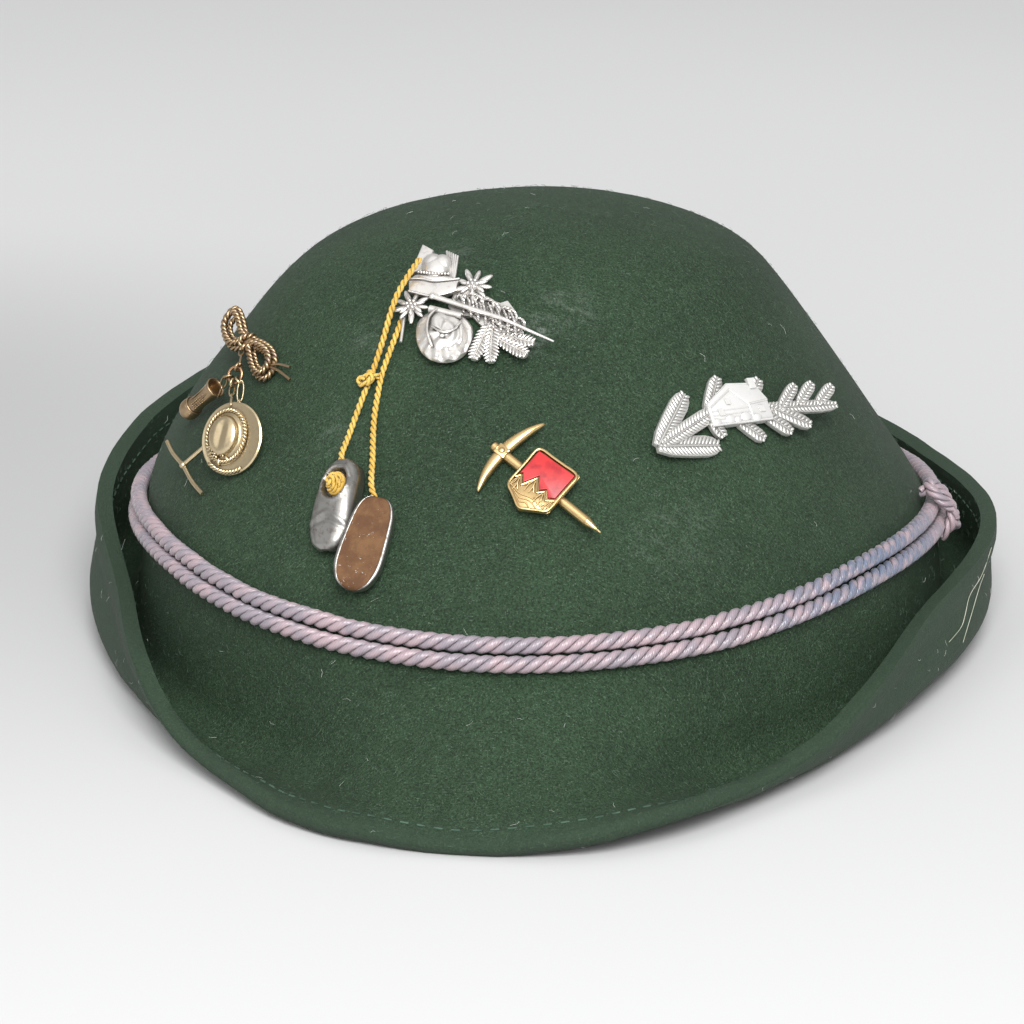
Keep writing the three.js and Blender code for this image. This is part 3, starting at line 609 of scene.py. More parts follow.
@dataclass(frozen=True)
class FibreFinish:
    """Loose fibres and threads."""

    dark: Colour
    pale: Colour

    def material(self, name: str) -> bpy.types.Material:
        """Make the fibres' material, which varies from one to the next."""
        s = Shader(name)
        colour = s.mix(s.spread(s.noise(190, 2), 0.35, 0.65), self.dark, self.pale)
        s.set(Base_Color=colour, Roughness=0.8, Specular_IOR_Level=0.25)
        return s.material


@dataclass(frozen=True)
class CordFinish:
    """Twisted cord: its two tones, its tint, how many threads show round each strand, and how far its painted
    groove shade reaches.
    """

    first: Colour
    second: Colour
    tint: Colour
    tint_place: Vector
    tint_radius: float
    sheen: float
    rough: float
    threads: int = 6
    reach: float = 0.7

    def material(self, name: str, length: float, thread_turn: float) -> bpy.types.Material:
        """Make the cord's material.

        Args:
            name: The material's name.
            length: Length of a strand, in millimetres.
            thread_turn: Length in which a thread goes once round its strand.

        Returns:
            The material.
        """
        s = Shader(name)
        run, around = s.along_piece()
        # Painted shade: the colour is darkened in the grooves between strands, found by an occlusion mask,
        # and in the lines between threads.
        corner = s.corner(self.reach)
        groove_shade = s.spread(corner, 0.3, 0.9, 0.2, 1.0)
        turns = s.math("MULTIPLY", run, length / thread_turn * self.threads)
        phase = s.math("ADD", turns, s.math("MULTIPLY", around, float(self.threads)))
        wave = s.math("SINE", s.math("MULTIPLY", phase, TAU))
        ridge = s.spread(wave, -1, 1)
        patches = s.noise(150, 3, 0.6)
        colour = s.mix(s.spread(patches, 0.38, 0.62), self.first, self.second)
        tinted = s.math("MULTIPLY", s.near(self.tint_place * MM, self.tint_radius * MM), 0.85)
        colour = s.mix(s.math("MULTIPLY", tinted, s.spread(s.noise(330, 2), 0.35, 0.6)), colour, self.tint)
        shade = s.math("MULTIPLY", s.spread(ridge, 0, 0.6, 0.86, 1), groove_shade)
        colour = s.mix(1.0, colour, shade, "MULTIPLY")
        hairs = s.noise(3200, 2, 0.6)
        relief = s.bump(ridge, 0.00006, 0.6)
        relief = s.bump(hairs, 0.00008, 0.4, relief)
        s.set(Base_Color=colour, Roughness=self.rough, Normal=relief)
        s.set(Sheen_Weight=self.sheen, Sheen_Roughness=0.35, Specular_IOR_Level=0.7)
        return s.material


@dataclass(frozen=True)
class MetalFinish:
    """Cast or wrought metal: bright on open faces and sharp edges, with painted shade that darkens its
    recesses.
    """

    bright: Colour
    dark: Colour
    stain: Colour
    rough: float
    rough_dark: float
    tarnish: float = 0.3
    recess: float = 0.9
    reach: float = 0.8
    grain: float = 0.25
    metallic: float = 1.0

    def material(self, name: str) -> bpy.types.Material:
        """Make the metal's material."""
        s = Shader(name)
        # Painted shade: corners within the reach, found by an occlusion mask, are darkened towards the dark
        # colour; open faces and sharp edges keep the bright colour.
        corner = s.corner(self.reach)
        open_air = s.spread(corner, 0.42, 0.95)
        sharp = s.spread(s.add("ShaderNodeNewGeometry").outputs["Pointiness"], 0.49, 0.56)
        blotch = s.noise(620, 5, 0.65)
        open_or_sharp = s.math("MAXIMUM", open_air, s.math("MULTIPLY", sharp, 0.5))
        recess_shade = s.math("MULTIPLY", s.math("SUBTRACT", 1.0, open_or_sharp), self.recess)
        patina = s.math("MULTIPLY", s.spread(blotch, 0.48, 0.68), self.tarnish)
        colour = s.mix(patina, self.bright, self.stain)
        colour = s.mix(recess_shade, colour, self.dark)
        shine = s.spread(recess_shade, 0, 1, self.rough, self.rough_dark)
        shine = s.math("ADD", shine, s.math("MULTIPLY", patina, 0.2))
        relief = s.bump(s.noise(1700, 3, 0.6), 0.00006, self.grain)
        s.set(Base_Color=colour, Metallic=self.metallic, Roughness=shine, Normal=relief)
        return s.material


@dataclass(frozen=True)
class EnamelFinish:
    """Glossy fired enamel with small pits and a slightly uneven surface."""

    main: Colour = (0.5, 0.02, 0.022)
    deep: Colour = (0.3, 0.004, 0.01)
    pit: Colour = (0.75, 0.25, 0.2)

    def material(self, name: str) -> bpy.types.Material:
        """Make the enamel's material."""
        s = Shader(name)
        colour = s.mix(s.spread(s.noise(420, 3), 0.4, 0.7), self.main, self.deep)
        colour = s.mix(s.math("MULTIPLY", s.spread(s.noise(2600, 2), 0.7, 0.8), 0.4), colour, self.pit)
        relief = s.bump(s.noise(700, 2), 0.0001, 0.25)
        s.set(Base_Color=colour, Roughness=0.42, Normal=relief, Coat_Weight=0.06, Coat_Roughness=0.25)
        return s.material


@dataclass(frozen=True)
class SoleFinish:
    """Painted sole, brown and worn down to the metal in places."""

    paint: Colour = (0.095, 0.042, 0.017)
    faded: Colour = (0.155, 0.077, 0.031)
    bare: Colour = (0.5, 0.48, 0.45)

    def material(self, name: str) -> bpy.types.Material:
        """Make the sole's material."""
        s = Shader(name)
        colour = s.mix(s.spread(s.noise(260, 5, 0.7), 0.35, 0.68), self.paint, self.faded)
        chips = s.spread(s.noise(900, 4, 0.75), 0.63, 0.7)
        colour = s.mix(chips, colour, self.bare)
        relief = s.bump(s.noise(1300, 4, 0.7), 0.00012, 0.5)
        s.set(Base_Color=colour, Metallic=s.math("MULTIPLY", chips, 0.6), Roughness=0.72, Normal=relief)
        s.set(Specular_IOR_Level=0.3)
        return s.material


ANTIQUE_BRASS = MetalFinish(
    (0.46, 0.33, 0.19), (0.02, 0.013, 0.011), (0.26, 0.2, 0.185), 0.32, 0.6, 0.65, 0.97, 1.0
)
PALE_BRASS = MetalFinish(
    (0.66, 0.54, 0.34), (0.04, 0.026, 0.016), (0.42, 0.32, 0.2), 0.3, 0.55, 0.4, 0.97, 1.0
)
COPPER_WIRE = MetalFinish((0.62, 0.36, 0.2), (0.08, 0.03, 0.02), (0.4, 0.2, 0.1), 0.25, 0.5)
BRIGHT_PEWTER = MetalFinish(
    (0.86, 0.83, 0.79), (0.022, 0.018, 0.016), (0.5, 0.45, 0.41), 0.3, 0.5, 0.55, 0.98, 1.5, 0.3, 0.85
)
FROSTY_PEWTER = MetalFinish(
    (0.66, 0.65, 0.62), (0.075, 0.07, 0.062), (0.47, 0.45, 0.43), 0.42, 0.58, 0.45, 0.95, 1.1, 0.4, 0.75
)
WHITE_PEWTER = MetalFinish(
    (0.87, 0.86, 0.84), (0.1, 0.095, 0.088), (0.7, 0.68, 0.66), 0.42, 0.55, 0.4, 0.95, 0.9, 0.4, 0.6
)
DULL_PEWTER = MetalFinish((0.38, 0.37, 0.35), (0.035, 0.031, 0.029), (0.15, 0.125, 0.105), 0.36, 0.6, 0.65)
SATIN_GOLD = MetalFinish((0.7, 0.5, 0.24), (0.05, 0.024, 0.01), (0.5, 0.33, 0.15), 0.32, 0.5, 0.4, 0.98, 1.0)
PLAIN_BRASS = MetalFinish((0.6, 0.5, 0.32), (0.2, 0.15, 0.08), (0.45, 0.36, 0.2), 0.4, 0.5)


def tube_mesh(paths: Sequence[Sequence[Vector]], radius: float, closed: bool, sides: int) -> bpy.types.Mesh:
    """Round tubes along some paths, as one mesh with a UV map.

    Args:
        paths: The middle lines.
        radius: The tubes' radius.
        closed: Whether each path closes on itself.
        sides: Sides of the round section, an even number from 4 up.

    Returns:
        The mesh, whose first UV coordinate runs along each tube and whose second runs round it.
    """
    curve = bpy.data.curves.new("tube", "CURVE")
    curve.dimensions = "3D"
    for path in paths:
        spline = curve.splines.new("POLY")
        spline.points.add(len(path) - 1)
        for target, point in zip(spline.points, path):
            target.co = (*point, 1)
        spline.use_cyclic_u = closed
    curve.bevel_depth = radius
    curve.bevel_resolution = (sides - 4) // 2
    curve.use_fill_caps = True
    holder = bpy.data.objects.new("tube", curve)
    mesh = bpy.data.meshes.new_from_object(holder)
    bpy.data.objects.remove(holder)
    bpy.data.curves.remove(curve)
    return mesh


def strand_paths(
    points: Sequence[Vector], turn: float, strands: int, offset: float, closed: bool,
) -> list[list[Vector]]:
    """Middle lines of the strands of a twisted rope.

    Args:
        points: Points that the rope passes.
        turn: Length in which a strand goes once round.
        strands: How many strands the rope has.
        offset: Distance of a strand's middle from the rope's.
        closed: Whether the rope closes on itself.

    Returns:
        One line for each strand.
    """
    middle = even_points(points, turn / TURN_STEPS, closed)
    count = len(middle)
    ahead = []
    for i in range(count):
        before = middle[i - 1] if closed or i else middle[0]
        after = middle[(i + 1) % count] if closed or i < count - 1 else middle[-1]
        ahead.append((after - before).normalized())
    side = ahead[0].orthogonal().normalized()
    sides = [side]
    for a, b in zip(ahead, ahead[1:] + ahead[:1]):
        side = a.rotation_difference(b) @ side
        sides.append(side)
    drift = 0.0
    if closed:
        across = ahead[0].cross(sides[0])
        drift = math.atan2(sides[count].dot(across), sides[count].dot(sides[0]))
    length = path_length(middle) + ((middle[0] - middle[-1]).length if closed else 0)
    turns = round(length / turn) if closed else length / turn
    lines = []
    for k in range(strands):
        line = []
        for i, (point, way) in enumerate(zip(middle, ahead)):
            share = i / count
            angle = -TAU * (turns * share + k / strands) - drift * share
            line.append(point + Quaternion(way, angle) @ sides[i] * offset)
        lines.append(line)
    return lines


class Workpiece:
    """Mesh of one piece, modelled in millimetres in a frame of its own."""

    def __init__(self, name: str, frame: Matrix | None = None) -> None:
        """Start an empty piece.

        Args:
            name: The piece's name.
            frame: From its millimetres to metres in the shared frame; its own scale if left out.
        """
        self.name = name
        self.frame = frame or Matrix.Scale(MM, 4)
        self.bm = bmesh.new()
        self.bm.loops.layers.uv.new("UVMap")

    def bent(self, columns: int, rows: int, place: Callable[[float, float], Vector]) -> None:
        """Grid that is bent into a surface and sewn where its points meet.

        Args:
            columns: Steps across.
            rows: Steps along.
            place: Where the point at two shares from 0 to 1 goes.
        """
        made = bmesh.ops.create_grid(self.bm, x_segments=columns, y_segments=rows, size=1)
        layer = self.bm.loops.layers.uv.active
        for vertex in made["verts"]:
            s, r = (vertex.co.x + 1) / 2, (vertex.co.y + 1) / 2
            for loop in vertex.link_loops:
                loop[layer].uv = (s, r)
            vertex.co = place(s, r)
        bmesh.ops.remove_doubles(self.bm, verts=made["verts"], dist=WELD)

    def plate(
        self, outline: Outline, unit: float, back: float, depth: float, bevel: float = 0.15,
        corner: float = 0.0,
    ) -> None:
        """Flat plate with a softened front edge.

        Args:
            outline: Points in the given unit.
            unit: Millimetres for each unit.
            back: Where its back is, in millimetres.
            depth: Its thickness.
            bevel: Width of the softened edge.
            corner: Width by which its upright corners are rounded.
        """
        points = [self.bm.verts.new((x * unit, y * unit, back)) for x, y in outline]
        face = self.bm.faces.new(points)
        face.normal_update()
        made = bmesh.ops.extrude_face_region(self.bm, geom=[face])["geom"]
        raised = [item for item in made if isinstance(item, bmesh.types.BMVert)]
        bmesh.ops.translate(self.bm, verts=raised, vec=(0, 0, depth))
        if corner:
            upright = {e for v in raised for e in v.link_edges if e.other_vert(v) not in raised}
            self.soften(list(upright), corner, 3)
        self.bm.faces.ensure_lookup_table()
        front = max(
            (f for f in self.bm.faces[-2 * len(outline) * 5 - 4 :] if len(f.verts) >= len(outline)),
            key=lambda f: f.calc_center_median().z,
        )
        if bevel:
            self.soften(list(front.edges), bevel, 2)

    def soften(self, edges: list[bmesh.types.BMEdge], width: float, segments: int) -> None:
        """Round some edges."""
        bmesh.ops.bevel(
            self.bm, geom=edges, offset=width, offset_type="OFFSET", affect="EDGES", segments=segments,
            profile=0.5, material=-1, clamp_overlap=True,
        )

    def rod(
        self, start: Sequence[float], end: Sequence[float], radius: float, far_radius: float | None = None,
        sides: int = 10,
    ) -> None:
        """Round bar between two points, which may taper.

        Args:
            start: Middle of its first end.
            end: Middle of its second end.
            radius: Radius of its first end.
            far_radius: Radius of its second end; the same if left out.
            sides: Sides of its section.
        """
        a, b = Vector(start), Vector(end)
        turn = (b - a).to_track_quat("Z", "Y").to_matrix().to_4x4()
        bmesh.ops.create_cone(
            self.bm, cap_ends=True, segments=sides, radius1=radius,
            radius2=radius if far_radius is None else far_radius, depth=(b - a).length,
            matrix=Matrix.Translation((a + b) / 2) @ turn,
        )

    def pebble(
        self, centre: Sequence[float], half: Sequence[float], turn: float = 0.0, sides: int = 14,
        rings: int = 8,
    ) -> None:
        """Ellipsoid with three half sizes, turned about z by an angle in degrees.

        Args:
            centre: Its middle.
            half: Its three half sizes.
            turn: The angle.
            sides: Steps round it.
            rings: Steps from pole to pole.
        """
        spin = Matrix.Rotation(math.radians(turn), 4, "Z")
        size = Matrix.Diagonal((*half, 1))
        bmesh.ops.create_uvsphere(
            self.bm, u_segments=sides, v_segments=rings, radius=1,
            matrix=Matrix.Translation(Vector(centre)) @ spin @ size,
        )

    def take(self, mesh: bpy.types.Mesh) -> None:
        """Add a mesh to the piece and drop it."""
        self.bm.from_mesh(mesh)
        bpy.data.meshes.remove(mesh)

    def wire(self, points: Sequence[Vector], radius: float, closed: bool = False, sides: int = 8) -> None:
        """Smooth round wire through some points."""
        step = max(radius * 0.9, 0.15)
        self.take(tube_mesh([even_points(points, step, closed)], radius, closed, sides))

    def rope(
        self, points: Sequence[Vector], diameter: float, turn: float, strands: int = 2,
        closed: bool = False, sides: int = 8,
    ) -> None:
        """Twisted rope through some points; its strands overlap a little, as pressed ones do.

        Args:
            points: Points that it passes.
            diameter: Its diameter.
            turn: Length in which a strand goes once round.
            strands: How many strands it has.
            closed: Whether it closes on itself.
            sides: Sides of a strand's section.
        """
        radius = diameter * (0.27 if strands == 2 else 0.25)
        paths = strand_paths(points, turn, strands, diameter / 2 - radius, closed)
        self.take(tube_mesh(paths, radius, closed, sides))

    def ring(self, centre: Sequence[float], across: float, up: float, radius: float, turn: Matrix) -> None:
        """Oval wire ring.

        Args:
            centre: Its middle.
            across: Half its width, to the wire's middle.
            up: Half its height.
            radius: The wire's radius.
            turn: Rotation from a ring in the x and y plane.
        """
        middle = Vector(centre)
        points = [
            middle + turn @ Vector((across * math.cos(a), up * math.sin(a), 0))
            for a in turned(RING_POINTS)
        ]
        self.wire(points, radius, True, 8)

    def frond(
        self, start: Vector, end: Vector, wide: float, back: float, depth: float, pitch: float = 0.8,
        fringe: float = 0.0,
    ) -> None:
        """Cast fir leaf: a blade with a centre rib and needles that slant away from it.

        Args:
            start: Its stem, in the plate's plane.
            end: Its tip.
            wide: Half its width.
            back: Where its back is.
            depth: Its thickness under the needles.
            pitch: Distance between needles.
            fringe: How far the needles stand out past the blade, from 0 to 1.
        """
        way = end - start
        length = way.length
        way.normalize()
        side = Vector((-way.y, way.x))
        stations = ((0.0, 0.5), (0.2, 0.88), (0.5, 1.0), (0.8, 1.0), (0.92, 0.82), (0.98, 0.55), (1.0, 0.28))
        edge = wide * (1.12 - 0.26 * fringe)
        left = [start + way * s * length + side * w * edge for s, w in stations]
        right = [start + way * s * length - side * w * edge for s, w in reversed(stations)]
        self.plate([tuple(p) for p in right + left], 1, back, depth, 0.12)
        top = back + depth
        self.rod((*start, top), (*end, top), wide * 0.17, wide * 0.1, 8)
        heading = math.degrees(math.atan2(way.y, way.x))
        count = max(3, round(length / pitch))
        for i in range(count):
            s = (i + 0.35) / count
            reach = wide * (0.55 + 0.5 * smooth(s / 0.22)) * (1.05 - 0.45 * smooth((s - 0.7) / 0.3))
            for sign in (-1, 1):
                middle = start + way * (s * length + reach * 0.24) + side * sign * reach * 0.54
                half = (reach * (0.54 + 0.1 * fringe), pitch * 0.4, depth * 0.32)
                self.pebble((*middle, top), half, heading + sign * 56, 8, 5)

    def finish(
        self,
        material: bpy.types.Material | Sequence[bpy.types.Material], slot: str,
        replaces: Sequence[str] = (), sharp: float = 40,
    ) -> bpy.types.Object:
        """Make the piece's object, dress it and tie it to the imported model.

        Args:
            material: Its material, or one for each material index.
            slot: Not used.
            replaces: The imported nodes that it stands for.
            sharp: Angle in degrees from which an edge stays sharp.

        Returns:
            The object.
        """
        bmesh.ops.recalc_face_normals(self.bm, faces=self.bm.faces[:])
        bmesh.ops.transform(self.bm, matrix=self.frame, verts=self.bm.verts[:])
        mesh = bpy.data.meshes.new(self.name)
        self.bm.to_mesh(mesh)
        self.bm.free()
        mesh.polygons.foreach_set("use_smooth", [True] * len(mesh.polygons))
        mesh.set_sharp_from_angle(angle=math.radians(sharp))
        for one in material if isinstance(material, Sequence) else [material]:
            mesh.materials.append(one)
        piece = bpy.data.objects.new(self.name, mesh)
        bpy.context.scene.collection.objects.link(piece)
        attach(piece, "root")
        if replaces:
            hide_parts(*replaces)
        log.info("%s: %d faces", self.name, len(mesh.polygons))
        return piece


@dataclass
class FeltBody:
    """Crown and brim in one piece of felt, with its hem, stitches, nap and lint."""

    form: HatForm
    around: int = 180
    crown_steps: int = 34
    brim_steps: int = 30
    stitch_pitch: float = 3.3
    stitch_inset: float = 4.6
    nap_count: int = 5200
    lint_count: int = 120
    brim_lint_count: int = 900
    dents: tuple[Dent, ...] = (
        Dent(-17, 0.6, 0.2, -1.0),
        Dent(-8, 0.95, 0.12, 0.8),
        Dent(-33, 0.35, 0.18, -0.9),
        Dent(14, 0.5, 0.2, 0.7),
        Dent(24, -0.12, 0.3, -0.5),
        Dent(-35, -0.25, 0.3, 0.5),
    )
    marks: tuple[DustMark, ...] = (
        DustMark(Place(2, 0.55), 7, 0.55),
        DustMark(Place(12, 0.6), 9, 0.22),
        DustMark(Place(-31, 0.5), 8, 0.14),
        DustMark(Place(-30, 0.34), 9, 0.12),
        DustMark(Place(28, 0.2), 16, 0.1),
        DustMark(Place(-27, 0.74), 8, 0.16),
    )

    def outer(self, t: float, r: float) -> Vector:
        """Point of the outer face, from r = 0 at the top to 1 at the brim's edge.

        Args:
            t: Angle from the front, in radians.
            r: Share of the way from the top to the edge.

        Returns:
            The point, in millimetres.
        """
        split = self.crown_steps / (self.crown_steps + self.brim_steps)
        if r < split:
            reach = -(1 - r / split)
            point = self.form.crown_point(t, 1 - r / split)
        else:
            reach = (r - split) / (1 - split)
            point = self.form.brim_point(t, reach)
        for dent in self.dents:
            turn = math.remainder(t - math.radians(dent.angle), TAU)
            away = math.hypot(turn / dent.wide, (reach - dent.reach) / (dent.wide * 1.6))
            point.z += dent.deep * (1 - smooth(away))
        soft = noise.noise(point * 0.045) * 0.5 + noise.noise(point * 0.11) * 0.2
        return point + Vector((0, 0, 1)) * soft * (0.35 + smooth(reach))

    def wall(self, r: float) -> float:
        """Thickness of the felt, which grows at the hem."""
        split = self.crown_steps / (self.crown_steps + self.brim_steps)
        v = (r - split) / (1 - split)
        hem = smooth((v - 1 + self.form.hem_depth / self.form.brim_width) * 8)
        return self.form.felt_wall + (self.form.hem_wall - self.form.felt_wall) * hem

    def surfaces(self) -> tuple[list[list[Vector]], list[list[Vector]], list[list[Vector]]]:
        """Rings of outer points, of inner points and of the outer face's normals."""
        rows = self.crown_steps + self.brim_steps
        angles = [TAU * j / self.around for j in range(self.around)]
        outer = [[self.outer(t, i / rows) for t in angles] for i in range(rows + 1)]
        inner, normals = [], []
        for i, row in enumerate(outer):
            up = outer[max(0, i - 1)]
            down = outer[min(rows, i + 1)]
            ring, ways = [], []
            for j, point in enumerate(row):
                side = row[(j + 1) % self.around] - row[j - 1]
                way = (down[j] - up[j]).cross(side).normalized() if i else Vector((0, 0, 1))
                below = point - way * self.wall(i / rows)
                below.z = max(0.0, below.z)
                ways.append(way)
                ring.append(below)
            inner.append(ring)
            normals.append(ways)
        for j in range(self.around):
            outer[-1][j].z = max(outer[-1][j].z, 0.8)
        return outer, inner, normals

    def build(self) -> bpy.types.Object:
        """Model the felt, its stitches, its nap and its lint."""
        outer, inner, normals = self.surfaces()
        rows = len(outer) - 1
        sheets = outer + [self.rolled(outer[-1], inner[-1])] + inner[::-1]
        last = len(sheets) - 1

        def place(s: float, r: float) -> Vector:
            """Point of the closed shell at two shares."""
            return sheets[round(r * last)][round(s * self.around) % self.around]

        felt = Workpiece("felt")
        felt.bent(self.around, last, place)
        dressed = FeltFinish().material("green_felt", self.form, self.marks)
        piece = felt.finish(dressed, "felt", ["felt_body"], 80)
        self.stitch(normals, rows)
        self.fuzz(outer, normals, "felt_nap", self.nap_count, 1.1, 0.026, 0)
        self.fuzz(outer, normals, "felt_lint", self.lint_count, 1.9, 0.03, 1)
        under = [[-way for way in row] for row in normals]
        self.fuzz(inner, under, "brim_lint", self.brim_lint_count, 1.3, 0.026, 2)
        self.loose_threads(inner, under)
        return piece

    def loose_threads(self, inner: list[list[Vector]], under: list[list[Vector]]) -> None:
        """Two long pale threads that cling to the underside of the brim, at the wearer's left."""
        rows = len(inner) - 1
        threads = []
        for route in (
            ((84, 0.985), (80, 0.955), (76.5, 0.93), (73.5, 0.9), (71, 0.885), (69, 0.89)),
            ((82, 0.945), (79, 0.915), (75.5, 0.89), (73, 0.865)),
        ):
            points = []
            for angle, r in route:
                i, j = round(r * rows), round(angle / 360 * self.around)
                points.append(inner[i][j] + under[i][j] * 0.12)
            threads.append(even_points(points, 0.8))
        piece = Workpiece("loose_threads")
        piece.take(tube_mesh(threads, 0.07, False, 6))
        piece.finish(FibreFinish((0.4, 0.42, 0.32), (0.6, 0.6, 0.5)).material("pale_thread"), "felt")

    def rolled(self, outer: list[Vector], inner: list[Vector]) -> list[Vector]:
        """Points between the two faces at the edge, moved out so that the edge is round.

        Args:
            outer: The outer face's last ring.
            inner: The inner face's last ring.

        Returns:
            The edge's ring.
        """
        middle = sum(outer, Vector()) / len(outer)
        result = []
        for a, b in zip(outer, inner):
            centre = (a + b) / 2
            out = (centre - middle).normalized()
            result.append(centre + (out + Vector((0, 0, 0.35))) * 0.55)
        return result

    def stitch(self, normals: list[list[Vector]], rows: int) -> None:
        """Row of short stitches beside the hem.

        Args:
            normals: The outer face's normals.
            rows: How many rings of them lie past the first.
        """
        split = self.crown_steps / rows
        v = 1 - self.stitch_inset / self.form.brim_width
        r = split + (1 - split) * v
        ring = [self.outer(TAU * j / 360, r) for j in range(360)]
        i = round(r * rows)
        lift = [normals[i][round(j / 360 * self.around) % self.around] for j in range(360)]
        raised = [point + way * 0.06 for point, way in zip(ring, lift)]
        line = even_points(raised, self.stitch_pitch / 4, True)
        dashes = [line[k : k + 3] for k in range(0, len(line) - 3, 4)]
        thread = Workpiece("hem_stitches")
        thread.take(tube_mesh(dashes, 0.2, False, 6))
        dressed = FibreFinish((0.03, 0.06, 0.04), (0.07, 0.12, 0.085)).material("stitch_thread")
        thread.finish(dressed, "felt")

    def fuzz(
        self, outer: list[list[Vector]], normals: list[list[Vector]], name: str, count: int, length: float,
        radius: float, seed: int,
    ) -> None:
        """Fibres that lie on the felt and stand a little off it.

        Args:
            outer: Rings of outer points.
            normals: The outer face's normals.
            name: The piece's name.
            count: How many fibres.
            length: Their usual length, in millimetres.
            radius: Their radius.
            seed: Added to the start of the random draws; any but 0 also makes the fibres pale.
        """
        draw = random.Random(FIBRE_SEED + seed)
        rows = len(outer) - 1
        fibres = []
        for _ in range(count):
            i = min(rows, int(rows * draw.random() ** 0.75) + 1)
            j = draw.randrange(self.around)
            share = draw.random()
            base = outer[i][j].lerp(outer[i][(j + 1) % self.around], share)
            base = base.lerp(outer[i - 1][j], draw.random() * 0.6)
            way = normals[i][j]
            flat = way.cross(Vector((draw.gauss(0, 1), draw.gauss(0, 1), draw.gauss(0, 1)))).normalized()
            reach = length * draw.uniform(0.5, 1.4)
            bend = way.cross(flat) * reach * draw.uniform(-0.3, 0.3)
            rise = draw.uniform(0.05, 0.4) * (0.8 if seed else 1.0)
            middle = base + flat * reach * 0.5 + way * (0.1 + rise * 0.6) + bend
            fibre = [base - way * 0.05, middle, base + flat * reach + way * rise]
            if min(point.z for point in fibre) > 0.05:
                fibres.append(fibre)
        piece = Workpiece(name)
        piece.take(tube_mesh(fibres, radius, False, 4))
        finish = FibreFinish((0.3, 0.33, 0.3), (0.55, 0.56, 0.52)) if seed else FibreFinish(
            (0.03, 0.07, 0.045), (0.11, 0.17, 0.12)
        )
        piece.finish(finish.material(name), "felt")


@dataclass
class CordBand:
    """Doubled twisted cord round the crown, with its knot at the wearer's left."""

    form: HatForm
    strands: int = 3
    turn: float = 8.4
    points: int = 90
    plump: float = 1.09

    def dressed(self, name: str, length: float) -> bpy.types.Material:
        """Satin cord in mauve grey with a blue grey tint at the wearer's left."""
        finish = CordFinish(
            (0.39, 0.295, 0.32), (0.27, 0.235, 0.27), (0.12, 0.16, 0.24),
            self.form.point(self.form.above_bend(58, 3, 2)), 46, 0.2, 0.28, 9,
        )
        return finish.material(name, length, 5.5)

    def route(self, distance: float) -> list[Vector]:
        """Closed route on the felt at a distance above the bend."""
        off = self.form.cord_diameter / 2 + self.form.seat_gap
        angles = (360 * i / self.points for i in range(self.points))
        return [self.form.point(self.form.above_bend(a, distance, off)) for a in angles]

    def build(self) -> None:
        """Model both cords and the knot."""
        size, gap = self.form.cord_diameter, self.form.seat_gap
        low = size / 2 + gap
        for name, distance in (("lower", low), ("upper", low + size + gap)):
            route = self.route(distance)
            cord = Workpiece(f"twisted_band_{name}")
            cord.rope(route, size * self.plump, self.turn, self.strands, True)
            length = path_length(route) * 1.15
            cord.finish(self.dressed(f"satin_cord_{name}", length), "band_cord", [f"band_cord_{name}"], 80)
        self.knot()

    def knot(self) -> None:
        """Knot of the same cord: a wrap over both cords, two curled loops and two short ends."""
        size = self.form.cord_diameter
        frame = self.form.frame(self.form.above_bend(82.5, size * 1.5, 0))
        knot = Workpiece("twisted_knot", frame)
        thin = size * 0.78
        wrap = [(-0.4, -5.4, 1.6), (0.2, -3.2, 5.2), (0.9, 0.4, 6.2), (0.6, 4.2, 5.0), (0.1, 5.4, 1.8)]
        loop = [(0.2, 0.4, 5.8), (2.6, 2.8, 5.6), (2.0, 5.6, 4.4), (-0.8, 5.4, 4.2), (-1.4, 2.4, 5.4),
            (0.4, -0.6, 6.2)]
        curl = [(0.8, -0.6, 6.0), (3.6, -1.2, 5.6), (4.2, -3.8, 4.8), (1.6, -4.6, 5.0), (0.2, -2.4, 6.0)]
        for points in (wrap, loop, curl):
            knot.rope([Vector(p) for p in points], thin, self.turn * 0.8, self.strands)
        for x, y, z, radius in ((2.6, -5.0, 5.2, 1.0), (3.8, -3.0, 5.9, 0.8)):
            knot.pebble((x, y, z), (radius, radius * 1.2, radius), 20)
        knot.finish(self.dressed("satin_cord_knot", 30), "band_cord", ["band_knot"], 80)


CHARM_FACING = Facing(-30, 24)
BOW_FACING = Facing(-42, 33)


